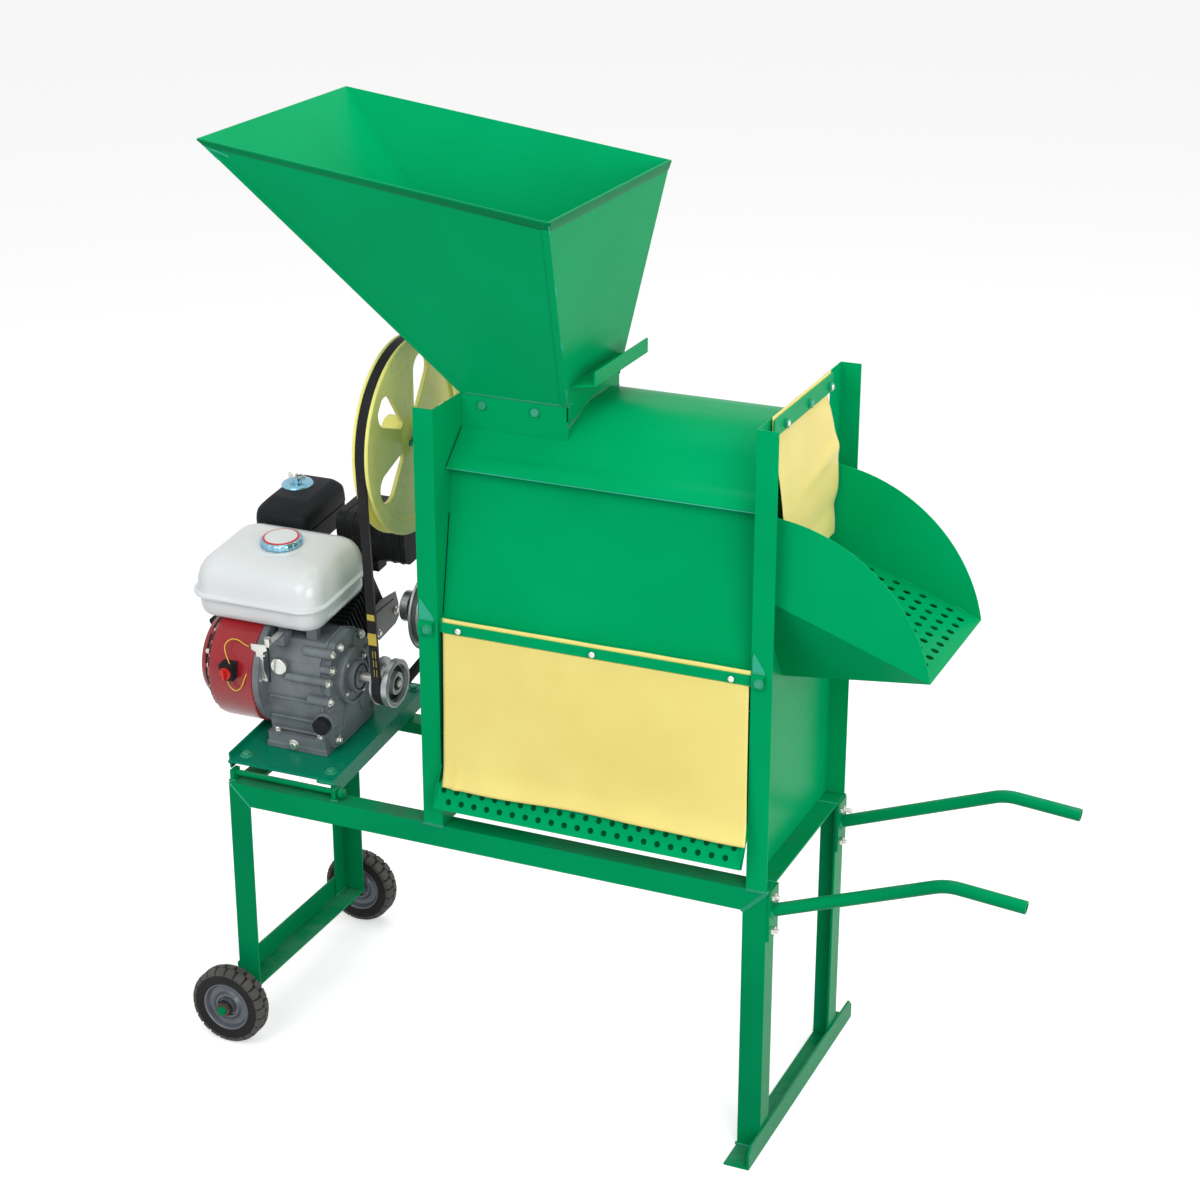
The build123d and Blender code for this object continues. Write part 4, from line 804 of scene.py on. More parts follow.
@dataclass
class Repeat:
    """Copies of one small shape at stated places, made by Geometry Nodes.

    Attributes:
        name: The name of the piece that the copies make together.
        shape: The small shape, standing on the origin and looking along Z, used up.
        finish: The copies' finish.
        vary: How much a copy's size may differ, as a share.
        spin: Whether each copy gets its own turn about its axis.
        seed: The seed of those differences.
    """

    name: str
    shape: Object
    finish: Finish
    vary: float = 0.0
    spin: bool = False
    seed: int = 7

    def tree(self) -> bpy.types.NodeTree:
        """Build the node tree.

        Returns:
            The tree, with the copies' differences and their seed as named inputs.
        """
        group = bpy.data.node_groups.new(self.name + "_copies", "GeometryNodeTree")
        face = group.interface
        face.new_socket("Geometry", in_out="INPUT", socket_type="NodeSocketGeometry")
        face.new_socket("Vary", in_out="INPUT", socket_type="NodeSocketFloat")
        face.new_socket("Spin", in_out="INPUT", socket_type="NodeSocketFloat")
        face.new_socket("Seed", in_out="INPUT", socket_type="NodeSocketInt")
        face.new_socket("Geometry", in_out="OUTPUT", socket_type="NodeSocketGeometry")
        tree = Tree(group)
        given = tree.add("NodeGroupInput").outputs
        facing = tree.add(
            "GeometryNodeInputNamedAttribute", {"Name": "facing"}, data_type="FLOAT_VECTOR").outputs[0]
        along = tree.add(
            "GeometryNodeInputNamedAttribute", {"Name": "along"}, data_type="FLOAT_VECTOR").outputs[0]
        turned = tree.add(
            "FunctionNodeAxesToRotation", {0: facing, 1: along}, primary_axis="Z", secondary_axis="X")
        low = tree.math("SUBTRACT", 1.0, given["Vary"])
        high = tree.math("ADD", 1.0, given["Vary"])
        size = tree.add("FunctionNodeRandomValue", {2: low, 3: high, "Seed": given["Seed"]}).outputs[1]
        angle = tree.add(
            "FunctionNodeRandomValue", {2: 0.0, 3: given["Spin"], "Seed": given["Seed"]}).outputs[1]
        about = tree.add("ShaderNodeCombineXYZ", {2: angle}).outputs[0]
        own = tree.add("FunctionNodeRotateRotation", {0: turned.outputs[0], 1: about}, rotation_space="LOCAL")
        source = tree.add("GeometryNodeObjectInfo", {"Object": self.shape}).outputs["Geometry"]
        copies = tree.add("GeometryNodeInstanceOnPoints", {
            "Points": given["Geometry"], "Instance": source, "Rotation": own.outputs[0], "Scale": size})
        real = tree.add("GeometryNodeRealizeInstances", {0: copies.outputs[0]})
        finished = tree.add(
            "GeometryNodeSetMaterial", {0: real.outputs[0], "Material": self.finish.material()})
        output = tree.add("NodeGroupOutput")
        group.links.new(finished.outputs[0], output.inputs[0])
        return group

    def build(self, places: list[tuple[Vector, Vector, Vector]]) -> Object:
        """Make the copies.

        Args:
            places: For each copy its place in metres, the way it looks and the way its X axis lies.

        Returns:
            All the copies as one plain mesh.
        """
        guide = bpy.data.meshes.new(self.name + "_guide")
        guide.from_pydata([tuple(p) for p, _, _ in places], [], [])
        for label, column in (("facing", 1), ("along", 2)):
            layer = guide.attributes.new(label, "FLOAT_VECTOR", "POINT")
            layer.data.foreach_set("vector", [c for row in places for c in row[column].normalized()])
        carrier = show(self.name + "_carrier", guide)
        modifier = carrier.modifiers.new("copies", "NODES")
        modifier.node_group = self.tree()
        values = {"Vary": self.vary, "Spin": 2 * pi if self.spin else 0.0, "Seed": self.seed}
        for item in modifier.node_group.interface.items_tree:
            if item.in_out == "INPUT" and item.name in values:
                modifier[item.identifier] = values[item.name]
        mesh = bpy.data.meshes.new_from_object(carrier.evaluated_get(bpy.context.evaluated_depsgraph_get()))
        mesh.name = self.name
        bpy.data.objects.remove(carrier)
        bpy.data.objects.remove(self.shape)
        obj = show(self.name, mesh)
        shade(obj, 30.0)
        return obj


def small(name: str, profile: list[Pair], segments: int = 6) -> Object:
    """Make a small turned shape that stands on the origin, to be copied by a Repeat."""
    return lathe(name + "_shape", Vector((0, 0, 0)), Vector((0, 0, 1)), profile, ZINC, segments, 25.0)


def bolt_shape(name: str, across: float, height: float, washer: float) -> Object:
    """Make a hex head on its washer.

    Args:
        name: A name for the shape.
        across: The head's width across its flats in millimetres.
        height: The head's height in millimetres.
        washer: The washer's radius in millimetres.

    Returns:
        The shape, standing on the origin.
    """
    corner = across / 2 / cos(pi / 6)
    head = small(name + "_head", [(0.8, 0.0), (0.8, corner), (0.8 + height * 0.8, corner),
                                  (0.8 + height, corner * 0.82), (0.8 + height, 0.0)])
    ring = small(
        name + "_washer", [(0.0, 0.0), (0.0, washer), (0.9, washer), (1.1, washer - 0.5), (1.1, 0.0)], 20)
    return joined(name + "_shape", [head, ring])


def loft(name: str, rings: list[list[Vector]], finish: Finish, smooth: float = 30.0) -> Object:
    """Skin a row of closed rings of equal length, with both ends closed.

    Args:
        name: The piece's name.
        rings: The rings' points in metres.
        finish: The piece's finish.
        smooth: Degrees below which edges shade smooth.

    Returns:
        The closed shell.
    """
    count = len(rings[0])
    points = [p for ring in rings for p in ring]
    faces = [tuple(range(count)), tuple(range((len(rings) - 1) * count, len(rings) * count))]
    for level in range(len(rings) - 1):
        base = level * count
        for k in range(count):
            after = (k + 1) % count
            faces.append((base + k, base + after, base + count + after, base + count + k))
    return piece(name, points, faces, finish, smooth)


def rounded(
        x0: float, x1: float, y0: float, y1: float, z: float, corner: float, steps: int = 7) -> list[Point]:
    """Give the points of a level rectangle with round corners, in millimetres."""
    corner = min(corner, (x1 - x0) / 2 - 0.01, (y1 - y0) / 2 - 0.01)
    points = []
    centres = ((x1 - corner, y1 - corner), (x0 + corner, y1 - corner), (x0 + corner, y0 + corner),
               (x1 - corner, y0 + corner))
    for quarter, (cx, cy) in enumerate(centres):
        for step in range(steps + 1):
            angle = pi / 2 * (quarter + step / steps)
            points.append((cx + corner * cos(angle), cy + corner * sin(angle), z))
    return points


def boxed(name: str, x: Pair, y: Pair, z: Pair, finish: Finish,
          place: object, rounding: float = 1.0) -> Object:
    """Make a block with softened edges in a stated frame of reference.

    Args:
        name: The piece's name.
        x: Its reach along X in millimetres.
        y: Its reach along Y.
        z: Its reach along Z.
        finish: Its finish.
        place: The function that turns a place into the row frame.
        rounding: Edge rounding in millimetres.

    Returns:
        The block.
    """
    base = [
        place(x[0], y[0], z[0]), place(x[1], y[0], z[0]), place(x[1], y[1], z[0]), place(x[0], y[1], z[0])]
    return plate(name, base, place(0, 0, z[1]) - place(0, 0, z[0]), finish, rounding)


UP = Vector((0.0, 0.0, 1.0))
RIGHT = Vector((1.0, 0.0, 0.0))
NEAR = Vector((0.0, -1.0, 0.0))
DECK_LEAN = radians(6.0)
DECK_FOOT = (170.334, 524.8)
DECK_UP = Vector((0.0, -sin(DECK_LEAN), cos(DECK_LEAN)))
DECK_NEAR = Vector((0.0, -cos(DECK_LEAN), -sin(DECK_LEAN)))


def deck(x: float, y: float, z: float) -> Vector:
    """Turn a place on the engine's tilted deck into the row frame.

    Args:
        x: Millimetres from the frame's engine end.
        y: Millimetres up the deck from under the crank.
        z: Millimetres above the deck plate.

    Returns:
        The place in metres.
    """
    lean_y = DECK_FOOT[0] + y * cos(DECK_LEAN) - z * sin(DECK_LEAN)
    lean_z = DECK_FOOT[1] + y * sin(DECK_LEAN) + z * cos(DECK_LEAN)
    return at(x, lean_y, lean_z)


@dataclass
class Bead:
    """Welds of one kind: rows of small overlapping ripples under the enamel.

    Attributes:
        name: The name of all the welds together.
        finish: Their finish.
        width: The bead's width in millimetres.
        height: The bead's height in millimetres.
        pitch: The step between ripples in millimetres.
        seed: The seed of the bead's wander.
    """

    name: str
    finish: Finish
    width: float = 6.0
    height: float = 1.6
    pitch: float = 2.2
    seed: int = 3
    rows: list = field(default_factory=list)

    def run(self, start: Vector, end: Vector, facing: Vector) -> None:
        """Lay a straight bead between two places on faces that look one way.

        Args:
            start: The bead's start in metres.
            end: Its end.
            facing: The way that the bead's crown looks.
        """
        draw = random.Random(self.seed + len(self.rows))
        along = (end - start).normalized()
        across = facing.cross(along).normalized()
        steps = max(2, round((end - start).length / (self.pitch * MM)))
        for step in range(steps + 1):
            wander = across * draw.uniform(-0.12, 0.12) * self.width * MM
            self.rows.append((start.lerp(end, step / steps) + wander, facing, along))

    def round(self, centre: Vector, axis: Vector, radius: float) -> None:
        """Lay a bead round a tube where it meets a plate.

        Args:
            centre: The middle of the ring in metres.
            axis: The tube's direction.
            radius: The ring's radius in millimetres.
        """
        turn = axis.to_track_quat("Z", "Y").to_matrix()
        steps = round(2 * pi * radius / self.pitch)
        for step in range(steps):
            angle = 2 * pi * step / steps
            out = turn @ Vector((cos(angle), sin(angle), 0.0))
            along = turn @ Vector((-sin(angle), cos(angle), 0.0))
            self.rows.append((centre + out * radius * MM, (out + axis).normalized(), along))

    def build(self, slot: str = "green_frame") -> Object:
        """Make every bead that was laid, riding on the frame.

        Args:
            slot: The welds' material slot.

        Returns:
            The beads as one piece.
        """
        half = self.width / 2
        ripple = small(self.name, [(-0.5, 0.0), (-0.5, half), (0.2 * self.height, half * 0.96),
                                   (0.75 * self.height, half * 0.62), (self.height, 0.0)], 9)
        copies = Repeat(self.name, ripple, self.finish, vary=0.14, spin=True, seed=self.seed)
        return placed(copies.build(self.rows), slot)


def bolts(name: str, places: list[tuple[Vector, Vector]], finish: Finish, across: float, height: float,
          washer: float, body: str = "frame", slot: str = "zinc") -> Object:
    """Set hex heads on washers at stated places.

    Args:
        name: The piece's name.
        places: For each head its seat in metres and the way it looks.
        finish: The heads' finish.
        across: Width across the flats in millimetres.
        height: The head's height in millimetres.
        washer: The washer's radius in millimetres.
        body: The body that they ride on.
        slot: Their material slot.

    Returns:
        All the heads as one piece.
    """
    rows = [(p, facing, RIGHT if abs(facing.x) < 0.9 else UP) for p, facing in places]
    copies = Repeat(name, bolt_shape(name, across, height, washer), finish, vary=0.02, spin=True)
    return placed(copies.build(rows), slot, body)


# Sub-assemblies

@dataclass
class Chassis:
    """The angle-iron frame with its legs, crossbar, foot bar and handles."""

    length: float = 980.0
    width: float = 381.0
    top: float = 477.0
    leg: float = 40.0
    wall: float = 4.0
    crossbar_top: float = 89.0
    post_feet: tuple[Pair, ...] = ((376.0, 409.0), (947.0, 980.0))
    handle_y: Pair = (22.0, 359.0)
    handle_bolts: tuple[Pair, ...] = ((15.0, 464.0), (15.0, 404.0), (350.0, 464.0), (350.0, 404.0))

    def build(self) -> None:
        """Dress the bars and add the welds and the handle bolts' threaded ends."""
        groups = ((("near_rail", "far_rail", "cross_rails"), RAIL_GREEN, 1),
                  (("near_left_leg", "far_left_leg", "near_right_leg", "far_right_leg"), GREEN_FRAME, 1),
                  (("wheel_crossbar", "foot_bar"), GREEN_FRAME, 1),
                  (("near_handle", "far_handle"), GREEN_FRAME, 0.8), (("handle_bolts",), ZINC, 0.5))
        for nodes, finish, width in groups:
            for node in nodes:
                dressed(node, finish, width)
        self.welds()
        self.studs()

    def welds(self) -> None:
        """Lay the weld beads at the frame's corners, bar ends, post feet and handle roots."""
        thick = Bead("frame_welds", WELD_GREEN, 6.5, 1.5)
        # The mitre welds take the paler enamel as a painted highlight.
        thin = Bead("mitre_welds", WELD_PAINTED_HIGHLIGHT, 3, 0.7, 1.6)
        low = self.top - self.leg
        for y, facing in ((0, NEAR), (self.width, -NEAR)):
            thin.run(at(1, y, self.top - 1), at(self.leg, y, low), facing)
            thick.run(at(self.length - 1, y, self.top - 2), at(self.length - self.leg, y, low), facing)
            thick.run(
                at(0, y, self.crossbar_top), at(self.leg, y, self.crossbar_top), (facing + UP).normalized())
            thick.run(at(self.length - self.leg, y, self.wall), at(self.length, y, self.wall),
                      (facing + UP).normalized())
            for x0, x1 in self.post_feet:
                thick.run(at(x0, y, self.top), at(x1, y, self.top), (facing + UP).normalized())
        for y in (self.leg, self.width - self.leg):
            for x0 in (2, self.length - self.leg):
                thin.run(at(x0, y, self.top), at(x0 + self.leg - 2, y, self.top), UP)
            thick.run(at(0, y, low + 2), at(0, y, self.top - 4), -RIGHT)
        for y0, y1 in ((4, 40), (341, 377)):
            thick.run(
                at(self.length, y0, self.wall), at(self.length, y1, self.wall), (RIGHT + UP).normalized())
            thick.run(at(self.wall, y0, self.crossbar_top), at(self.wall, y1, self.crossbar_top),
                      (RIGHT + UP).normalized())
        rise = radians(20.6)
        for y in self.handle_y:
            thick.round(at(985, y, 437), Vector((cos(rise), 0, sin(rise))), 11.2)
        thick.build()
        thin.build()

    def studs(self) -> None:
        """Put a threaded end through each handle nut."""
        parts = []
        for index, (y, z) in enumerate(self.handle_bolts):
            reach = 16.0 if index == 2 else 9.0
            profile = [(0, 0), (0, 3.9)]
            step = 0.0
            while step < reach - 1.0:
                profile += [(step + 0.3, 4.1), (step + 0.9, 3.6)]
                step += 1.25
            profile += [(reach, 3.2), (reach, 0)]
            parts.append(lathe("stud", at(988, y, z), RIGHT, profile, ZINC, 16, 50))
        placed(joined("handle_studs", parts), "zinc")


@dataclass
class Wheels:
    """The two wheels on their axle."""

    carcass: float = 67.2
    blocks: int = 22
    axle: Pair = (8.0, 70.0)
    centres: tuple[tuple[str, float, float], ...] = (("near", -47.0, -1.0), ("far", 428.0, 1.0))

    def build(self) -> None:
        """Dress the axle and turn the rims, tyres and tread blocks."""
        dressed("wheel_axle", GREEN_FRAME, 0.8)
        dressed("wheel_nuts", RUSTY, 0.6)
        for side, y, outward in self.centres:
            centre = at(self.axle[0], y, self.axle[1])
            self.rim_disc(side, centre)
            self.tyre(side, centre)
        ends = [lathe("end", at(self.axle[0], y + outward * 29, self.axle[1]), Vector((0, outward, 0)),
                      [(0, 0), (0, 7.4), (2.9, 7.2), (3.8, 6), (3.8, 0)], RUSTY, 24)
                for _, y, outward in self.centres]
        placed(joined("axle_ends", ends), "zinc")

    def rim_disc(self, side: str, centre: Vector) -> None:
        """Turn one dished wheel centre.

        Args:
            side: Which wheel.
            centre: Its middle in metres.
        """
        outside = [(16, 44.6), (17, 44), (17.2, 42.8), (16.4, 41.6), (14, 40.4), (9, 39.4), (6.6, 37.4),
                   (5.6, 33.4), (6, 28), (7.4, 25.6), (10.4, 24), (12.6, 22.4), (13, 20.4), (12.4, 18.6),
                   (9, 17.4), (8.6, 14.6), (14, 14), (20.4, 13.6), (21, 12.6), (21, 8.1)]
        profile = [(-a, r) for a, r in reversed(outside)] + outside
        profile.append((-21, 8.1))
        disc = lathe(side + "_wheel_disc", centre, Vector((0, 1, 0)), profile, RIM_GREY, 72, 35)
        cups = [lathe("cup", centre, Vector((0, way, 0)),
                      [(19, 8.2), (19, 15), (21.3, 14.8), (21.7, 13.8), (21.3, 12.6), (21.3, 8.2),
                       (19, 8.2)], EXHAUST_BLACK, 40) for way in (-1, 1)]
        placed(joined(side + "_hub_seals", cups), "rim_grey", side + "_wheel")
        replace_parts(placed(disc, "rim_grey", side + "_wheel"), side + "_wheel_rim")
        rivets = Repeat(side + "_rim_rivets", small("rivet", [(-0.5, 0), (-0.5, 2.4), (0.4, 2.2),
                                                              (0.9, 1.2), (1.1, 0)], 10), RIM_GREY)
        rows = []
        for step in range(5):
            angle = 2 * pi * step / 5 + 0.5
            for way in (-1, 1):
                spot = centre + Vector((31 * cos(angle), way * 5.7, 31 * sin(angle))) * MM
                rows.append((spot, Vector((0, way, 0)), UP))
        placed(rivets.build(rows), "rim_grey", side + "_wheel")

    def tyre(self, side: str, centre: Vector) -> None:
        """Turn one tyre's carcass and set its two staggered rows of tread blocks.

        Args:
            side: Which wheel.
            centre: Its middle in metres.
        """
        wall = [(15.6, 44.4), (17.2, 45.6), (17.8, 47.6), (17.4, 48.8), (17.9, 50), (17.5, 51.4), (18, 52.8),
                (17.6, 54.2), (18, 56), (17.9, 59), (17, 62.4), (15.4, 65.2), (12.6, 66.8), (8, self.carcass)]
        profile = [(-a, r) for a, r in wall] + [(a, r) for a, r in reversed(wall)]
        profile.append((-15.6, 44.4))
        carcass = lathe(side + "_tyre_carcass", centre, Vector((0, 1, 0)), profile, TYRE_RUBBER, 96, 25)
        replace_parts(placed(carcass, "tyre_rubber", side + "_wheel"), side + "_tyre")
        block = self.block(side)
        rows = []
        for step in range(self.blocks):
            for way, shift in ((-1, 0), (1, 0.5)):
                angle = 2 * pi * (step + shift) / self.blocks
                out = Vector((cos(angle), 0, sin(angle)))
                spot = centre + (out * (self.carcass - 1.2) + Vector((0, way * 8.6, 0))) * MM
                rows.append((spot, out, Vector((0, way, 0))))
        treads = Repeat(side + "_tread_blocks", block, TREAD_RUBBER).build(rows)
        placed(treads, "tyre_rubber", side + "_wheel")

    def block(self, side: str) -> Object:
        """Make one tread block, standing on the origin, with its shoulder towards +X.

        Args:
            side: Which wheel it is for.

        Returns:
            The block.
        """
        low = [(-8.2, -8.2, 0), (3, -8.6, 0), (8.8, -8.2, -5.2), (8.8, 8.2, -5.2), (3, 8.6, 0), (-8.2, 5, 0)]
        high = [(-7.6, -7.5, 3.4), (2.6, -7.9, 3.4), (8.2, -7.2, 0.4), (8.2, 7.2, 0.4), (2.6, 7.9, 3.4),
                (-7.6, 4.2, 3.4)]
        points = [Vector(p) * MM for p in low + high]
        faces = [(5, 4, 3, 2, 1, 0), (6, 7, 10, 11), (7, 8, 9, 10)]
        faces += [(k, (k + 1) % 6, 6 + (k + 1) % 6, 6 + k) for k in range(6)]
        return piece(side + "_block_shape", points, faces, TREAD_RUBBER, None)


@dataclass
class Housing:
    """The sheet-metal body: end walls, hood, panels, neck, gate and hopper."""

    rim: tuple[Point, ...] = ((36, -35, 1594), (628, -35, 1520), (628, 433, 1520), (36, 433, 1594))
    foot: tuple[Point, ...] = ((411, 98, 1197), (597, 98, 1197), (597, 300, 1197), (411, 300, 1197))
    hem: float = 17.0
    hood_x: Pair = (412.5, 944.5)
    eave_at: Pair = (40.0, 1090.0)
    hood_slope: Pair = (0.753, 0.657)

    def build(self) -> None:
        """Dress the sheets and add their hems, welds, brackets and bolts."""
        for node in ("left_end_wall", "right_end_wall", "drum_hood", "front_panel", "rear_panel",
                     "hopper_neck", "slide_gate", "hopper", "clamp_strips", "chute_sides", "chute_pan"):
            dressed(node, GREEN_SHEET, 0.5)
        for node in ("kernel_tray", "chute_floor"):
            kept(node, GREEN_SHEET)
        dressed("panel_bolts", GREEN_BOLT, 0.6)
        self.hems()
        self.corners()
        self.seams()
        self.brackets()
        self.eave()
        self.gaps()

    def outward(self, side: int) -> Vector:
        """Give the way that one of the hopper's four walls looks."""
        a, b = Vector(self.rim[side]), Vector(self.rim[(side + 1) % 4])
        down = Vector(self.foot[side]) - a
        return down.cross(b - a).normalized()

    def hems(self) -> None:
        """Fold a hem over the top edge of each hopper wall, in a darker copy of the sheet enamel as painted
        shade on the hem's lip.
        """
        parts = []
        for side in range(4):
            a, b = Vector(self.rim[side]), Vector(self.rim[(side + 1) % 4])
            fall_a = (Vector(self.foot[side]) - a).normalized()
            fall_b = (Vector(self.foot[(side + 1) % 4]) - b).normalized()
            out = self.outward(side)
            along = (b - a).normalized()
            section = ((0.05, 0.4), (1.9, 0.4), (2.7, 1.4), (2.8, 4), (1.7, self.hem - 3), (0.7, self.hem),
                       (0.05, self.hem))
            rings = []
            for end, fall, inset in ((a, fall_a, along), (b, fall_b, -along)):
                rings.append(
                    [at(*(end + inset * 0.2 + out * proud + fall * drop)) for proud, drop in section])
            parts.append(loft("hem", rings, HEM_PAINTED_SHADE, 35))
        placed(joined("hopper_hems", parts), "green_sheet")

    def corners(self) -> None:
        """Lap the near and far walls' side edges over the hopper's corners, and lay dark rods along the inner
        seams as painted shade.
        """
        parts = []
        for side, first in ((0, True), (0, False), (2, True), (2, False)):
            out = self.outward(side)
            here = side if first else (side + 1) % 4
            there = (side + 1) % 4 if first else side
            top, low = Vector(self.rim[here]), Vector(self.foot[here])
            inward_top = (Vector(self.rim[there]) - top).normalized()
            inward_low = (Vector(self.foot[there]) - low).normalized()
            drop = (low - top).normalized()
            outline = [top + drop * 14, top + drop * 14 + inward_top * 12, low + inward_low * 11, low]
            level = [at(*(p + out * 0.05)) for p in outline]
            parts.append(plate("lap", level, out * 1.5 * MM, GREEN_SHEET, 0.3))
        placed(joined("hopper_laps", parts), "green_sheet")
        # Painted shade: dark rods along the hopper's inner corners.
        middle = Vector((504, 199, 0))
        lines = []
        for corner in range(4):
            top, low = Vector(self.rim[corner]), Vector(self.foot[corner])
            inward = Vector((middle.x - low.x, middle.y - low.y, 0)).normalized() * 1.9
            lines.append(rod("seam", [at(*(top + inward - UP * 1)), at(*(low + inward))], 0.9, GAP_PAINTED_SHADE))
        placed(joined("hopper_inner_seams", lines), "green_sheet")

    def seams(self) -> None:
        """Lay the small seams, tack welds and spatter on the sheets."""
        fine = Bead("sheet_seams", WELD_GREEN, 4.2, 1.1, 1.8)
        rough = Bead("neck_welds", WELD_RUST, 3.6, 1, 1.7)
        # The bright tacks take the paler enamel as a painted highlight.
        bright = Bead("bright_tacks", WELD_PAINTED_HIGHLIGHT, 3.2, 0.9, 1.5)
        for corner in range(4):
            top, low = Vector(self.rim[corner]), Vector(self.foot[corner])
            drop = (low - top).normalized()
            out = (self.outward(corner) + self.outward((corner + 3) % 4)).normalized()
            if corner in (0, 1):
                for share in (0.04, 0.36, 0.66, 0.93):
                    spot = top.lerp(low, share)
                    bright.run(at(*(spot - drop * 6)), at(*(spot + drop * 6)), out)
            fine.run(at(*(low - drop * 24)), at(*low), out)
        a, b = Vector(self.rim[0]), Vector(self.rim[1])
        down = (Vector(self.foot[0]) - a).normalized()
        out = self.outward(0)
        bright.run(at(*(a + down * 10 + out)), at(*(a + down * 44 + out)), out)
        bright.run(
            at(*(a + down * 20 + (b - a) * 0.01 + out)), at(*(a + down * 30 + (b - a) * 0.05 + out)), out)
        x0, x1, y0, y1 = self.foot[0][0], self.foot[1][0], self.foot[0][1], self.foot[2][1]
        for start, end, facing in (
                ((x0, y0, 1197), (x1, y0, 1197), NEAR), ((x0, y1, 1197), (x1, y1, 1197), -NEAR)):
            fine.run(at(*start), at(*end), facing)
        bright.run(at(x1 - 1, y0 + 3, 1198.5), at(x1 - 1, y0 + 20, 1198.5), UP)
        for x, z in ((1004, 943.9), (1094, 911.8), (1184, 879.7)):
            bright.run(at(x - 9, 298.8, z + 3.2), at(x + 9, 298.8, z - 3.2), (UP + NEAR).normalized())
        arc = [(98, 1163), (140, 1171.5), (170, 1182), (198.5, 1185.5), (245, 1185.5), (298, 1177)]
        for (ya, za), (yb, zb) in zip(arc, arc[1:]):
            rough.run(at(x1, ya, za), at(x1, yb, zb), (RIGHT + UP).normalized())
        for x, way in ((411, RIGHT), (945, -RIGHT)):
            for z in (880, 960, 1040):
                y = 19.0 + 43.0 * (z - 847) / 239.0
                fine.run(at(x, y, z - 9), at(x, y + 3.2, z + 9), (way + NEAR).normalized())
        rough.build(slot="green_sheet")
        fine.build(slot="green_sheet")
        bright.build(slot="green_sheet")

    def eave(self) -> None:
        """Bend the hood's sheet softly above its eave, and lay a pale rod along the eave's edge as a painted
        highlight.
        """
        section = ((36, 0), (31, 0.7), (27, 1.8), (23.5, 2.9), (20, 3.5), (16, 3.6), (11, 3.1), (5, 2),
                   (0.6, 1.2), (0, 0.3))
        columns = 60
        points = []
        x0, x1 = self.hood_x
        y0, z0 = self.eave_at
        run, rise = self.hood_slope
        for step in range(columns + 1):
            x = x0 + (x1 - x0) * step / columns
            grow = min(1, max(0.12, (x - 418) / 90))
            for along, proud in section:
                proud = 0.05 + proud * grow
                points.append(at(x, y0 + run * along - rise * proud, z0 + rise * along + run * proud))
        count = len(section)
        faces = [(k * count + j, k * count + j + 1, (k + 1) * count + j + 1, (k + 1) * count + j)
                 for k in range(columns) for j in range(count - 1)]
        placed(piece("hood_bend", points, faces, GREEN_SHEET, 60), "green_sheet")
        edge = rod("hood_edge", [at(x, y0 - 0.4, z0 - 0.4) for x in self.hood_x], 0.9, WELD_PAINTED_HIGHLIGHT, 2)
        placed(edge, "green_sheet")

    def gaps(self) -> None:
        """Paint shade into the narrow gaps beside the front panel, at the hood's end and at the gate's
        corner, with dark rods and a dark block.
        """
        parts = [boxed("gate_gap", (595.2, 597.4), (97.3, 98.4), (1172, 1196), GAP_PAINTED_SHADE, at, 0)]
        slope = (62 - 19) / (1086 - 847)
        for x in (411.6, 945):
            line = [at(x, 19 + slope * (z - 847) - 0.5, z) for z in (850, 1012)]
            parts.append(rod("gap", line, 1, GAP_PAINTED_SHADE))
        parts.append(rod("gap", [at(411.6, 41.5, 1092), at(411.6, 97, 1140.6)], 0.9, GAP_PAINTED_SHADE))
        placed(joined("sheet_gaps", parts), "green_sheet")

    def brackets(self) -> None:
        """Make the small plates on the posts that hold the clamp strip's ends."""
        left = [(379, 872), (381, 879), (404.5, 848), (404.5, 842), (379, 842)]
        right = [(948, 874), (950, 881), (968, 852), (968, 847), (948, 847)]
        parts = []
        for outline in (left, right):
            # The gussets take the paler enamel as a painted highlight.
            parts.append(plate("gusset", [at(x, -2.6, z) for x, z in outline], Vector((0, 2.5, 0)) * MM,
                               WELD_PAINTED_HIGHLIGHT, 0.5))
            x0, x1 = outline[4][0], outline[3][0]
            low = outline[4][1]
            parts.append(boxed("shelf", (x0, x1), (-9, 0), (low - 3.5, low), GREEN_SHEET, at, 0.6))
            parts.append(boxed("tab", (x0, x1), (-9, -6.5), (low - 22, low - 3), GREEN_SHEET, at, 0.6))
        placed(joined("strip_brackets", parts), "green_sheet")
        seats = [(at(396, -9, 830), NEAR), (at(961, -9, 835), NEAR)]
        bolts("bracket_nuts", seats, GREEN_BOLT, 11, 5, 8)


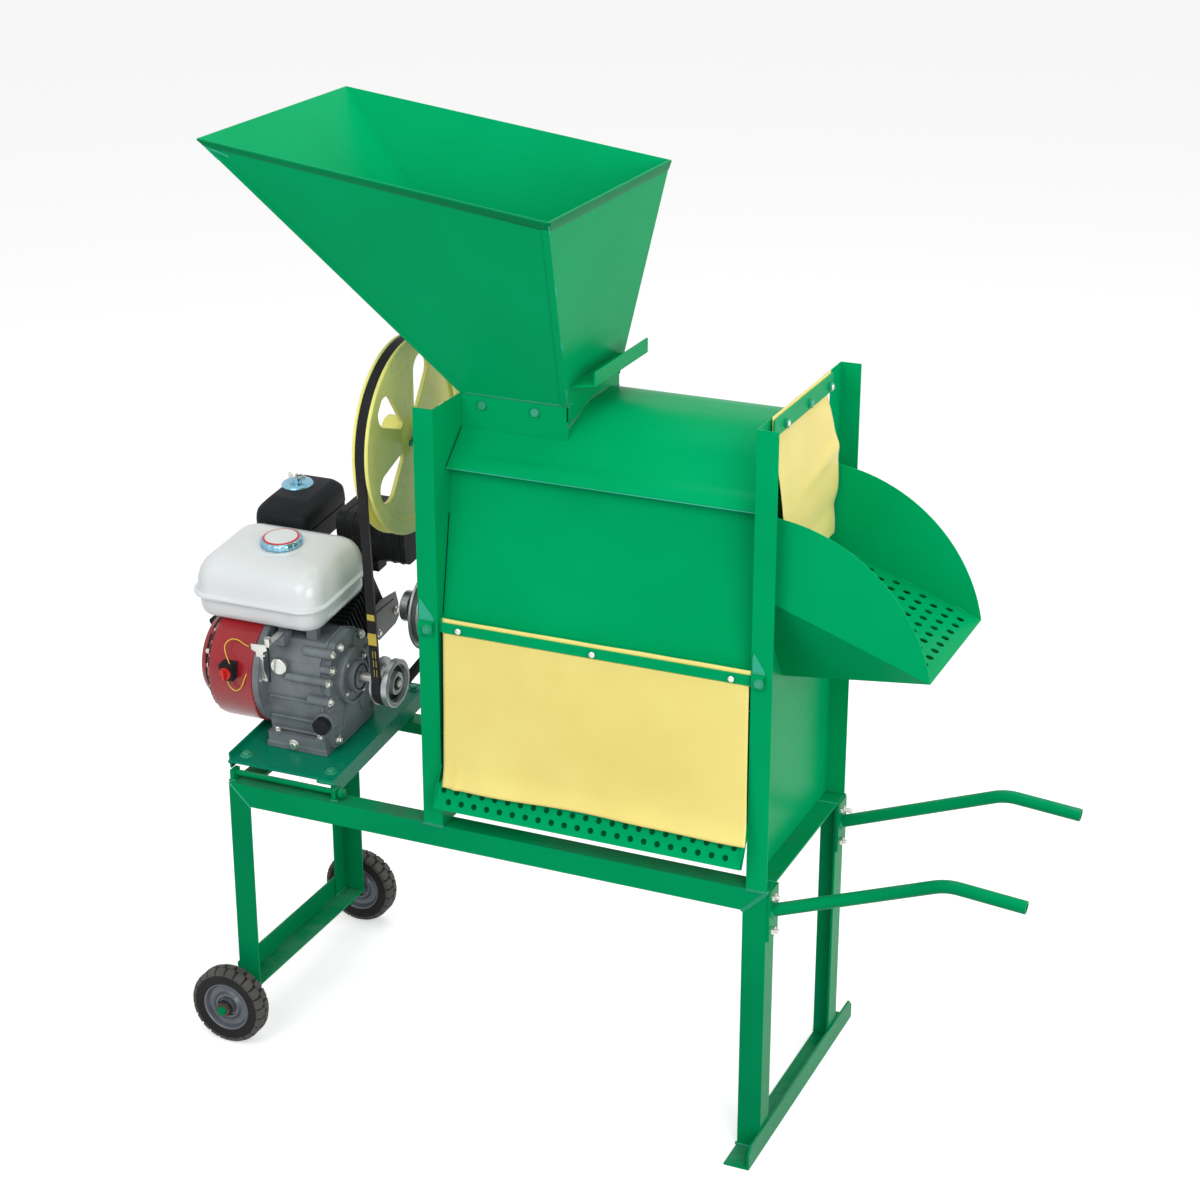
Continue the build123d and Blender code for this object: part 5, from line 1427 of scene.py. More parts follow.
@dataclass
class Outlets:
    """The yellow cloth pieces over the two outlets, with the screws that clamp them."""

    flap_x: Pair = (420.5, 942.5)
    flap_line: tuple[Pair, ...] = ((0.3, 824.9), (-2.2, 760), (-6.4, 690), (-11.6, 620), (-18.6, 564.5))
    curtain_y: Pair = (58.5, 293.5)
    curtain_line: tuple[
        Pair, ...] = ((952.0, 1206.9), (958.5, 1165), (968.5, 1100), (974.5, 1040), (973.5, 979.0))
    thickness: float = 1.1

    def build(self) -> None:
        """Hang both cloths and set their screws."""
        self.flap()
        self.curtain()
        self.screws()

    def on_line(self, line: tuple[Pair, ...], share: float) -> Pair:
        """Find the place at a share of a section line's height, with its bends softened.

        Args:
            line: Pairs of distance and height in millimetres, from the top down.
            share: How far down, from 0 to 1.

        Returns:
            Distance and height in millimetres.
        """
        spot = share * (len(line) - 1)
        index = min(int(spot), len(line) - 2)
        part = spot - index
        before = line[max(index - 1, 0)]
        a, b = line[index], line[index + 1]
        after = line[min(index + 2, len(line) - 1)]
        values = []
        for axis in (0, 1):
            slope_a = (b[axis] - before[axis]) / 2 if index else b[axis] - a[axis]
            slope_b = (after[axis] - a[axis]) / 2 if index < len(line) - 2 else b[axis] - a[axis]
            cube, square = part ** 3, part ** 2
            values.append((2 * cube - 3 * square + 1) * a[axis] + (cube - 2 * square + part) * slope_a
                          + (3 * square - 2 * cube) * b[axis] + (cube - square) * slope_b)
        return values[0], values[1]

    def cloth(self, name: str, place: object, columns: int, rows: int, width: float, length: float) -> Object:
        """Weave a sheet over a grid, with a UV map in metres for its weave.

        Args:
            name: The sheet's name.
            place: Gives the place in the row frame for two shares, across and down.
            columns: Steps across.
            rows: Steps down.
            width: Flat width in metres.
            length: Flat length in metres.

        Returns:
            The sheet with its thickness.
        """
        points = [place(i / columns, j / rows) for j in range(rows + 1) for i in range(columns + 1)]
        faces = []
        for j in range(rows):
            for i in range(columns):
                base = j * (columns + 1) + i
                faces.append((base, base + columns + 1, base + columns + 2, base + 1))
        obj = piece(name, points, faces, YELLOW_CLOTH, 180)
        layer = obj.data.uv_layers.new(name="cloth")
        for loop in obj.data.loops:
            row, column = divmod(loop.vertex_index, columns + 1)
            layer.data[loop.index].uv = (column / columns * width, row / rows * length)
        thick = obj.modifiers.new("thickness", "SOLIDIFY")
        thick.thickness = self.thickness * MM
        thick.offset = 0.0
        return obj

    def flap(self) -> None:
        """Hang the grain flap, with soft slanting folds and a flared, slightly wavy foot."""
        x0, x1 = self.flap_x

        def place(u: float, v: float) -> Vector:
            """Give the flap's place for two shares."""
            y, z = self.on_line(self.flap_line, v)
            x = x0 + (x1 - x0) * u + (5 + 5 * u) * v ** 2
            loose = v ** 0.8
            folds = 2.8 * sin(2 * pi * (1.15 * u + 0.55 * v + 0.1)) + 1.5 * sin(2 * pi * (2.6 * u - 0.8 * v))
            blister = 3.4 * noise.noise(Vector((x * 0.009, z * 0.011, 4.2)))
            foot = -6.5 * max(0, (v - 0.84) / 0.16) ** 1.5
            crease = -3.0 * max(0, 1 - abs(u - 0.045 - 0.03 * (1 - v)) / 0.02) * max(0, (v - 0.78) / 0.22)
            sag = -1.4 * sin(2 * pi * u * 1.4 + 0.6) * max(0, v - 0.85) / 0.15
            return at(x, y - 1.2 * loose + (folds + blister) * loose * 0.62 + foot + crease, z + sag)

        flap = self.cloth("grain_flap_cloth", place, 110, 56, 0.522, 0.262)
        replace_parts(placed(flap, "yellow_cloth", "flap"), "grain_flap")

        def folded(u: float, v: float) -> Vector:
            """Give the place of the clamped edge above the strip."""
            rise = 1.6 * noise.noise(Vector((u * 5, 0.3, 1))) + 1.1
            return at(419 + 526 * u, 1.6 - 0.4 * v, 848.5 + rise - (24 + rise) * v)

        hem = self.cloth("grain_flap_hem", folded, 90, 4, 0.526, 0.025)
        placed(hem, "yellow_cloth")

    def curtain(self) -> None:
        """Hang the cob curtain, bellied out at its far edge with one slanting crease."""
        y0, y1 = self.curtain_y

        def place(u: float, v: float) -> Vector:
            """Give the curtain's place for two shares."""
            x, z = self.on_line(self.curtain_line, v)
            y = y0 + (y1 - y0) * u
            belly = 7.0 * u ** 2 * sin(pi * min(1, v * 1.25)) - 3.0 * (1 - u) * v
            ridge_at = 0.60 - 0.20 * u
            ridge = 4.2 * u ** 1.5 * exp(-((v - ridge_at) / 0.05) ** 2)
            tuck = -4.5 * u ** 2 * exp(-((v - 0.80) / 0.08) ** 2)
            soft = 1.6 * noise.noise(Vector((y * 0.014, z * 0.012, 9))) * v
            return at(x + belly + ridge + tuck + soft, y + 1.5 * u * sin(6 * v) * v, z)

        curtain = self.cloth("cob_curtain_cloth", place, 60, 64, 0.235, 0.236)
        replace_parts(placed(curtain, "yellow_cloth", "curtain"), "cob_curtain")

        def folded(u: float, v: float) -> Vector:
            """Give the place of the clamped edge behind the outlet strip."""
            rise = 0.8 * noise.noise(Vector((u * 4, 2.3, 5))) + 0.8
            return at(951.6, 50 + 262 * u, 1239.5 + rise - (31 + rise) * v)

        hem = self.cloth("cob_curtain_hem", folded, 50, 4, 0.262, 0.032)
        placed(hem, "yellow_cloth")

    def screws(self) -> None:
        """Set the domed zinc screw heads on the strips."""
        rows = [(at(x, -6.2, 834), NEAR, RIGHT) for x in (450, 683, 915)]
        rows += [(at(961.1, y, 1218), RIGHT, UP) for y in (96, 297)]
        dome = small("strip_screws", [(-0.6, 0), (-0.6, 5.2), (0.5, 5), (1.5, 3.9), (2.2, 2.2), (2.4, 0)], 20)
        placed(Repeat("strip_screws", dome, ZINC).build(rows), "zinc")


@dataclass
class Drive:
    """The shafts, drum, fan, pulleys and belt."""

    belt_x: float = 229.0
    crank: Pair = (158.0, 642.154)
    rotor: Pair = (258.0, 1056.0)
    fan: Pair = (334.0, 708.0)
    half: float = 14.0
    groove: tuple[Pair, ...] = ((9.21, 0.0), (5.23, 13.0))

    def build(self) -> None:
        """Dress the turning pieces and turn the engine's pulley."""
        for node, finish in (
                ("rotor_shaft", SHAFT_STEEL), ("threshing_drum", GREEN_FRAME), ("concave", GREEN_FRAME),
                ("fan_shaft", FAN_STEEL), ("fan_impeller", GREEN_FRAME)):
            kept(node, finish)
        for node in ("drum_bearings", "fan_bearings"):
            dressed(node, GREEN_FRAME, 0.8)
        dressed("drum_pulley", YELLOW_IRON, 1.6, angle=24)
        dressed("fan_pulley", FAN_STEEL, 0.8)
        dressed("drive_belt", BELT_RUBBER, 0.6)
        self.engine_pulley()
        self.pulley_details()
        self.belt_bands()

    def engine_pulley(self) -> None:
        """Turn the engine's pulley: vee groove, raised rim, recessed face and bolted boss."""
        (top, _), (bottom, depth) = self.groove
        radius = 42.0
        face = self.half + 7.0
        front = [(-1.2, radius), (0, radius - 1.4), (0, 35), (-1, 33.6), (-8, 32), (-9, 30), (-9, 21.5),
                 (-7.6, 20.4), (-1.6, 19.6), (-0.8, 18.6), (-0.8, 13.4), (-2, 12.4), (-3, 10.05)]
        profile = [(-self.half, 10.05), (-self.half, 28), (-self.half, radius - 1), (-self.half + 1, radius),
                   (-top, radius), (-bottom, radius - depth), (bottom, radius - depth), (top, radius)]
        profile += [(face + along, reach) for along, reach in front] + [(-self.half, 10.05)]
        centre = at(self.belt_x, *self.crank)
        pulley = lathe("engine_pulley_turned", centre, RIGHT, profile, PULLEY_STEEL, 96, 32)
        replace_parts(placed(pulley, "pulley_steel", "crank"), "engine_pulley")
        middle = at(self.belt_x + face, *self.crank)
        cup = lathe("cup", middle, RIGHT,
                    [(-8.8, 21.6), (-8.8, 31.4), (-8.5, 31.6), (-8.5, 21.5), (-8.8, 21.6)], EXHAUST_BLACK, 64)
        washer = lathe("washer", middle, RIGHT,
                       [(-2.4, 0), (-2.4, 11.6), (-0.6, 11.4), (-0.3, 10.4), (-0.3, 0)], EXHAUST_BLACK, 32)
        head = lathe(
            "head", middle, RIGHT, [(-0.6, 0), (-0.6, 6.8), (2.4, 6.8), (3, 5.8), (3, 0)], ZINC, 6, 25)
        placed(joined("engine_pulley_bolt", [cup, washer, head]), "pulley_steel", "crank")
        keyway = boxed("crank_key", (self.belt_x + 3, self.belt_x + face - 2),
                       (self.crank[0] - 2.4, self.crank[0] + 2.4), (self.crank[1] + 9, self.crank[1] + 12),
                       ZINC, at, 0.3)
        placed(keyway, "pulley_steel", "crank")

    def pulley_details(self) -> None:
        """Add the drum pulley's cast rings, boss and bolts, and the fan pulley's hub disc."""
        centre = at(self.belt_x, *self.rotor)
        ring = lathe("ring", centre, RIGHT,
                     [(8.6, 146), (10.6, 144.6), (10.6, 142.4), (8.6, 141), (8.6, 146)], YELLOW_IRON, 128)
        lip = lathe("lip", centre, RIGHT, [(13.6, 169), (15, 168.6), (15, 158.4), (13.6, 158), (13.6, 169)],
                    YELLOW_IRON, 128)
        boss = lathe("boss", centre, RIGHT, [(8.8, 15.3), (8.8, 40), (10, 38.6), (13, 31), (14.6, 28.4),
                                             (14.8, 26.6), (14.8, 15.3), (8.8, 15.3)], YELLOW_IRON, 72)
        placed(joined("drum_pulley_rings", [ring, lip, boss]), "yellow_enamel", "rotor")
        near_face = self.belt_x - 54.0
        fan = at(near_face, *self.fan)
        disc = lathe("disc", fan, -RIGHT, [(-0.5, 0), (-0.5, 27.6), (0.6, 27), (0.6, 20), (-0.1, 18.6),
                                           (-0.1, 12), (1.2, 11.4), (1.8, 9.6), (1.8, 0)], FAN_STEEL, 64)
        placed(disc, "shaft_steel", "fan")
        seats = [(at(self.belt_x + 14.6, self.rotor[0] + 22 * cos(a), self.rotor[1] + 22 * sin(a)), RIGHT)
                 for a in (0.4, 0.4 + pi)]
        bolts("drum_pulley_bolts", seats, GREEN_BOLT, 8, 4, 6, "rotor", "yellow_enamel")

    def belt_bands(self) -> None:
        """Lay plain yellow bands on the belt's near run, just above the engine's pulley."""
        low, high = (117.1, 639.4), (89.4, 1044.5)
        slope = (high[0] - low[0]) / (high[1] - low[1])
        bands = ((773, 784, -7, 7), (727, 749, -8, 8), (703, 716, -1.6, -0.4), (686, 699, -1.6, -0.4),
                 (668, 681, -1.6, -0.4), (703, 716, 3.4, 4.6), (686, 699, 3.4, 4.6), (668, 681, 3.4, 4.6))
        parts = []
        for z0, z1, x0, x1 in bands:
            outline = []
            for x, z in ((x0, z0), (x1, z0), (x1, z1), (x0, z1)):
                y = low[0] + slope * (z - low[1])
                outline.append(at(self.belt_x + x, y - 0.35, z))
            parts.append(plate("band", outline, Vector((0, 0.5, 0)) * MM, BAND_YELLOW, 0))
        placed(joined("belt_bands", parts), "belt_rubber")


@dataclass
class Engine:
    """The petrol engine on its tilted deck, in the deck's own coordinates."""

    crank_height: float = 118.0
    tank: tuple[float, float, float, float] = (-118.0, 142.0, -66.0, 151.0)
    cap: Pair = (16.0, 50.0)
    knob: Pair = (-72.0, 260.0)

    def build(self) -> None:
        """Dress the engine piece by piece."""
        nodes = (("engine_deck", DECK_GREEN, 1), ("deck_mounts", GREEN_FRAME, 0.8),
                 ("crankcase", ENGINE_CAST, 1.6), ("cylinder_head", EXHAUST_BLACK, 0.8),
                 ("muffler", EXHAUST_BLACK, 1.6), ("throttle_lever", ZINC, 0.3), ("choke_lever", ZINC, 0.3),
                 ("stop_switch", SWITCH_RED, 0.8), ("oil_dipstick", BLACK_PLASTIC, 0.6),
                 ("starter_handle", BLACK_PLASTIC, 0.8))
        for row in nodes:
            dressed(*row)
        kept("crankshaft", SHAFT_STEEL)
        self.fuel_tank()
        self.fuel_cap()
        self.air_cleaner()
        self.shroud()
        self.case_details()
        self.controls()
        self.exhaust()
        self.deck_details()

    @property
    def crank(self) -> Vector:
        """Give the crank's place over the middle of the deck."""
        return deck(0, 0, self.crank_height)

    def spoke(self, degrees: float) -> Vector:
        """Give the way that looks from the crank's line, counted from the far side upwards."""
        return DECK_NEAR * -cos(radians(degrees)) + DECK_UP * sin(radians(degrees))

    def level(self, z: float, left: float, right: float, near: float, far: float,
              corner: float) -> list[Vector]:
        """Give one level of the tank, set in from its seam on each side by a number of millimetres."""
        x0, x1, y0, y1 = self.tank
        return [deck(*p) for p in rounded(x0 + left, x1 - right, y0 + near, y1 - far, z, corner, 9)]

    def fuel_tank(self) -> None:
        """Press the tank's two halves and join them at the seam flange."""
        levels = (
            (230, 24, 24, 24, 24, 30), (230.8, 18, 18, 18, 18, 34), (233, 14, 14, 14, 14, 36),
            (237, 11.4, 11.4, 11.4, 11.4, 38), (243, 10.2, 10.2, 10.2, 10.2, 38),
            (254, 9.4, 9.4, 9.4, 9.4, 39), (255.4, 7.5, 7.5, 7.5, 7.5, 40), (256, 4, 4, 4, 4, 42),
            (256.4, 1, 1, 1, 1, 45), (257.6, 0.1, 0.1, 0.1, 0.1, 46), (260.4, 0.1, 0.1, 0.1, 0.1, 46),
            (261.6, 1, 1, 1, 1, 45), (262.2, 3.4, 3.4, 3.4, 3.4, 43), (263.6, 6, 6, 6.2, 6, 41),
            (270, 6.9, 6.9, 7.6, 6.9, 40), (285, 8.4, 8.4, 11, 8.4, 39), (298, 12, 12, 17.5, 12, 37),
            (308, 18, 18, 27, 18, 33), (315, 27, 27, 41, 27, 27), (319.4, 38, 38, 56, 38, 20),
            (321.4, 50, 50, 70, 50, 12), (322, 62, 62, 80, 62, 6))
        tank = loft("fuel_tank_shell", [self.level(*row) for row in levels], TANK_WHITE, 32)
        sump = []
        for name, right, far, left, front in (("near", 9.6, 116, 9.6, 9.6), ("right", 9.7, 12, 144, 34)):
            rows = ((215, 18, 18), (215.8, 12, 12), (218, 7, 7), (222, 3.6, 3.6), (230, 1.2, 1.2),
                    (243, 0.2, 0.2), (253, 0, 0))
            rings = [self.level(z, left + side, right + side, front + near, far, 36 - side)
                     for z, side, near in rows]
            sump.append(loft(name, rings, TANK_WHITE, 32))
        placed(joined("fuel_tank_sump", sump), "tank_white")
        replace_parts(placed(tank, "tank_white"), "fuel_tank")
        neck = lathe("neck", deck(*self.cap, 0), DECK_UP,
                     [(318, 0), (318, 46), (321.4, 45.4), (323.2, 43.4), (323.6, 40), (322.6, 33),
                      (322.6, 24), (330, 23.6), (330, 0)], TANK_WHITE, 72)
        placed(neck, "tank_white")

    def fuel_cap(self) -> None:
        """Make the cap: a lobed plated edge, a pressed crown and a plain enamelled disc."""
        rings = []
        for z, radius, depth in ((323.4, 35.6, 0.4), (324.4, 37, 1.2), (326, 37.4, 1.8), (331, 37.2, 1.9),
                                 (333.6, 36, 1.4), (335.2, 34.2, 0.6), (335.8, 32.8, 0)):
            ring = []
            for step in range(144):
                angle = 2 * pi * step / 144
                lobe = radius - depth * (0.5 + 0.5 * cos(12 * angle)) ** 2
                ring.append(deck(self.cap[0] + lobe * cos(angle), self.cap[1] + lobe * sin(angle), z))
            rings.append(ring)
        # The plated edge's teal base colour is a painted reflection.
        edge = loft("fuel_cap_edge", rings, CHROME_PAINTED_REFLECTION, 40)
        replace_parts(placed(edge, "cap_chrome", "fuel_cap"), "fuel_cap")
        place = deck(*self.cap, 0)
        band = lathe("band", place, DECK_UP,
                     [(335.4, 0), (335.4, 32.4), (336.4, 32.2), (336.9, 31), (336.9, 0)], SWITCH_RED, 72)
        disc = lathe("disc", place, DECK_UP, [(336.4, 0), (336.4, 28.4), (337.3, 28), (337.6, 26.4),
                                              (337.9, 14), (337.95, 0)], TANK_WHITE, 72)
        placed(joined("fuel_cap_disc", [band, disc]), "cap_chrome", "fuel_cap")

    def air_cleaner(self) -> None:
        """Mould the air cleaner's case and lid, the carburettor under it and its wing nut."""
        def ring(z: float, side: float, near: float, corner: float) -> list[Vector]:
            """Give one level of the case."""
            return [deck(*p) for p in rounded(-110 + side, -2 - side, 158 + near, 318 - side, z, corner, 6)]

        levels = ((246, 8, 8, 12), (246.6, 4, 4, 16), (249, 2.4, 2.4, 18), (283, 1.4, 1.4, 18),
                  (284, 3.4, 3.4, 17), (286, 3.4, 3.4, 17), (287, 0.2, 0.2, 19), (298, 0.3, 0.5, 19),
                  (308, 0.8, 2.4, 19), (314, 2, 6, 18), (318, 4.2, 11, 17), (321, 7, 17, 15),
                  (326, 12, 31, 12), (329, 16, 40, 10), (330, 20, 46, 7))
        case = loft("air_cleaner_case", [ring(*row) for row in levels], BLACK_PLASTIC, 26)
        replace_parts(placed(case, "black_plastic"), "air_cleaner")
        parts = [boxed("bowl_top", (-60, -8), (176, 214), (200, 250), ENGINE_CAST, deck, 3),
                 boxed("flange", (-62, -6), (180, 210), (188, 200), ENGINE_CAST, deck, 2),
                 lathe("bowl", deck(-34, 195, 0), DECK_UP,
                       [(172, 0), (172, 12), (174, 15.6), (177, 17), (187, 17), (187, 0)], ENGINE_CAST, 36),
                 boxed("pipe", (-8, 42), (184, 206), (206, 228), ENGINE_CAST, deck, 3)]
        placed(joined("carburettor", parts), "engine_cast")
        place = deck(*self.knob, 0)
        # The dish's teal base colour is a painted reflection as well.
        plate_part = lathe("dish", place, DECK_UP,
                           [(329.6, 0), (329.6, 29), (331.4, 29), (333.2, 27.6), (334.6, 24), (335, 19),
                            (334.4, 12), (334.6, 9), (338, 8), (342.6, 7.2), (343, 0)], CHROME_PAINTED_REFLECTION, 60)
        wings = []
        for way in (-1, 1):
            x, y = self.knob
            outline = [(4, 337), (9, 337.5), (16, 341), (18, 346), (17, 350.5), (13, 352), (9.5, 349),
                       (7, 344.5), (4, 343)]
            wings.append(plate("wing", [deck(x + way * a, y - 1.6, z) for a, z in outline],
                               deck(0, 3.2, 0) - deck(0, 0, 0), ZINC, 0.9))
        stud = lathe("stud", place, DECK_UP, [(342, 0), (342, 3), (350, 3), (351, 2.2), (351, 0)], ZINC, 16)
        placed(joined("cleaner_knob", [plate_part, stud] + wings), "cap_chrome")

    def shroud(self) -> None:
        """Spin the flywheel shroud with its round starter cover, air slots, duct and screws."""
        profile = [(22, 99), (22.4, 102), (21.6, 104), (18, 104.2), (17, 103.4), (-56, 103.8), (-62, 102.6),
                   (-66.6, 99.6), (-69.4, 94.6), (-70.8, 88), (-71.6, 81), (-73, 78.8), (-82, 78.4),
                   (-90, 77), (-94.4, 74), (-97, 68), (-98, 58), (-98, 30), (-96, 26), (-95.6, 0)]
        drum = lathe("drum", self.crank, RIGHT, profile, SHROUD_RED, 96, 32)
        back = lathe("back", self.crank, RIGHT, [(20, 0), (20, 99.4), (22, 99.4), (22, 0)],
                     EXHAUST_BLACK, 64)
        duct = loft(
            "duct", [[deck(*p) for p in rounded(-60 + s, 22 - s, 40, 150 - s, z, 12, 4)]
                     for z, s in ((150, 0), (214, 0), (222, 2.5), (226.6, 8), (228, 15))], SHROUD_RED, 30)
        eye = lathe("eye", deck(-98, 30, self.crank_height + 54), -RIGHT,
                    [(-3, 0), (-3, 10), (4.6, 10), (6, 8.6), (6, 0)], EXHAUST_BLACK, 24)
        shroud = joined("engine_shroud_shell", [drum, back, duct, eye])
        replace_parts(placed(shroud, "shroud_red"), "engine_shroud")
        self.slots()
        box = boxed("switch_box", (-31, -5), (-117.4, -95), (135, 165), BLACK_PLASTIC, deck, 2)
        placed(box, "black_plastic")
        seats = [(deck(-70.6, 0, self.crank_height) + self.spoke(turn) * 89 * MM, -RIGHT, UP)
                 for turn in (125, 165, 205, 245, 305, 345, 25, 65)]
        heads = Repeat("starter_screws", small("starter", [(-1.5, 0), (-1.5, 4.4), (1.6, 4.4), (2.4, 3.4),
                                                           (2.4, 0)], 12), ZINC)
        placed(heads.build(seats), "zinc")
        glint = (deck(-75.8, -76.5, 162), (DECK_NEAR * 0.93 + DECK_UP * 0.36).normalized(), RIGHT)
        one = Repeat(
            "shroud_screw", small("glint", [(-4, 0), (-4, 4.2), (0.8, 4.2), (1.8, 3), (1.8, 0)], 14), ZINC)
        placed(one.build([glint]), "zinc")

    def slots(self) -> None:
        """Sink the air slots in the starter cover: in groups round its side, and in rows on its face."""
        shape = boxed("slot_shape", (-8.5, 8.5), (-2.2, 2.2), (-0.8, 0.5), EXHAUST_BLACK, lambda x, y,
                      z: Vector((x, y, z)) * MM, 0.9)
        rows = []
        for group in range(8):
            for step in (-1, 0, 1):
                turn = group * 45 + 12 + step * 13
                out, along = self.spoke(turn), self.spoke(turn + 90)
                slanted = (out * 0.85 - RIGHT * 0.5).normalized()
                for left, reach, facing, lie in (
                        (82.5, 78.2, out, along), (64, 101.2, slanted, along), (97.8, 46, -RIGHT, out)):
                    rows.append((self.crank + (out * reach - RIGHT * left) * MM, facing, lie))
        placed(Repeat("air_slots", joined("air_slot", [shape]), EXHAUST_BLACK).build(rows), "shroud_red")

    def case_details(self) -> None:
        """Add the crankcase's ribs, seal, bolts, plugs and its cover flange."""
        cover = [(-78, 34), (-72, 12), (-40, 4), (56, 4), (80, 24), (82, 130), (52, 180), (14, 200),
                 (-36, 196), (-60, 166), (-70, 120)]
        middle = (2, 104)
        wide = [(middle[0] + (y - middle[0]) * 1.035, middle[1] + (z - middle[1]) * 1.03) for y, z in cover]
        parts = [plate("joint", [deck(137.6, y, z) for y, z in wide], RIGHT * 5.4 * MM, ENGINE_CAST, 1.2)]
        for angle in range(0, 360, 45):
            turn = radians(angle + 20)
            y0, z0 = 48 * cos(turn), self.crank_height + 48 * sin(turn)
            reach = 72 if sin(turn) > -0.2 else 88
            y1, z1 = reach * cos(turn), self.crank_height + reach * sin(turn)
            side = (-2.2 * sin(turn), 2.2 * cos(turn))
            outline = [(y0 + side[0], z0 + side[1]), (y1 + side[0], z1 + side[1]),
                       (y1 - side[0], z1 - side[1]), (y0 - side[0], z0 - side[1])]
            parts.append(
                plate("rib", [deck(154, y, z) for y, z in outline], RIGHT * 5 * MM, ENGINE_CAST, 1.3))
        for z, reach in ((98, 138), (60, 138), (36, 136)):
            parts.append(boxed("bar", (40, reach), (-79, -68), (z - 2.2, z + 2.2), ENGINE_CAST, deck, 1.2))
        parts.append(boxed("foot", (30, 148), (-88, -74), (0, 12), ENGINE_CAST, deck, 2))
        parts.append(lathe("cup", deck(146, -56, 64), DECK_NEAR,
                           [(8, 0), (8, 19), (27, 18.6), (28, 17.4), (28, 15.4), (26, 15), (26, 0)],
                           ENGINE_CAST, 32))
        parts.append(lathe("ring", self.crank, RIGHT, [(164, 44), (164, 50.4), (168.4, 49.6), (169.4, 47.6),
                                                       (169.4, 44), (164, 44)], ENGINE_CAST, 72))
        placed(joined("case_ribs", parts), "engine_cast")
        seal = lathe("seal", self.crank, RIGHT,
                     [(172, 10.4), (172, 24), (178.6, 23.6), (179.2, 22), (178.6, 20), (176.8, 18.6),
                      (176.8, 12), (178, 10.4), (172, 10.4)], EXHAUST_BLACK, 48)
        placed(seal, "engine_cast")
        seats = [(deck(159.8, y, z), RIGHT) for y, z in ((-64, 24), (-62, 158), (-30, 186), (44, 176),
                                                         (72, 112), (70, 28))]
        seats += [(deck(157.8, y, z), RIGHT) for y, z in ((-54, 184), (-76, 141), (-76, 104))]
        bolts("case_bolts", seats, ZINC, 10, 5, 8)
        around = [(deck(165.8, 40 * cos(a), self.crank_height + 40 * sin(a)), RIGHT)
                  for a in (0.6, 2.2, 3.6, 5.2)]
        bolts("bearing_bolts", around, ZINC, 7, 3.4, 5.2)
        plugs = [
            (deck(85, -88, 13), DECK_NEAR), (deck(132, -74, 29.8), DECK_UP), (deck(48, -74, 29.8), DECK_UP)]
        bolts("drain_plugs", plugs, ZINC, 13, 6, 10.5)

    def controls(self) -> None:
        """Fold the control bracket, with its rod, spring and disc, and run the two yellow wires."""
        parts = [
            plate("blade",
                  [deck(x, -85, z) for x, z in ((18, 197), (48, 199), (49, 188), (41, 184), (38, 150),
                                                (44, 134), (40, 126), (26, 130), (24, 150), (27, 182),
                                                (18, 186))], deck(0, 2, 0) - deck(0, 0, 0), ZINC, 0.5),
            boxed("leg", (34, 44), (-85, -68), (176, 179), ZINC, deck, 0.5),
            boxed("arm", (-4, 46), (-89.5, -85), (131, 136), ZINC, deck, 0.8),
            lathe("disc", deck(67, -80, 160), DECK_NEAR, [(-3, 0), (-3, 15), (3, 15), (4, 13.6), (4, 0)],
                  ZINC, 32), lathe("boss", deck(67, -60, 160), DECK_NEAR,
                                   [(0, 0), (0, 10), (18, 9), (18, 0)], ENGINE_CAST, 24),
            rod("link", [deck(61, -100, 212), deck(60, -97, 200), deck(55, -92, 150), deck(52, -90, 132)],
                1.5, EXHAUST_BLACK, 2)]
        placed(joined("control_bracket", parts), "zinc")
        coil = []
        for step in range(121):
            angle = 2 * pi * 15 * step / 120
            x = 10 + 26 * step / 120
            coil.append(deck(x, -93 + 2.6 * cos(angle), 133.5 + 2.6 * sin(angle)))
        placed(rod("governor_spring", coil, 0.55, ZINC), "zinc")
        upper = [(-12, -108.5, 162), (-14, -109.5, 170), (-26, -98, 178), (-32, -90, 188),
                 (-25, -80.5, 197), (-9, -80, 198), (3, -84, 194), (14, -84, 190)]
        lower = [(-20, -110, 137), (-20, -112, 130), (-15, -110.5, 118), (-4, -110, 113), (7, -109, 124),
                 (11, -104, 140), (13, -98, 146)]
        for name, points, length in (("stop_wire", upper, 0.092), ("earth_wire", lower, 0.071)):
            self.wire(name, [deck(*p) for p in points])

    def wire(self, name: str, points: list[Vector]) -> None:
        """Run one thin yellow wire from the switch box to the control bracket.

        Args:
            name: The wire's name.
            points: The control points of its smooth line, in metres.
        """
        curve = round_line(name, points, 0.0009, 3, True)
        curve.materials.append(WIRE_YELLOW.material())
        obj = placed(show(name, curve), "black_plastic")

    def exhaust(self) -> None:
        """Add the head's and the cowl's bolts, the heat shield and the muffler's seam, ribs and tail."""
        lean = radians(25)

        def head(x: float, y: float, z: float) -> Vector:
            """Turn a place on the leaning cylinder into the row frame."""
            return deck(x, 46 + y * cos(lean) - z * sin(lean), 138 + y * sin(lean) + z * cos(lean))

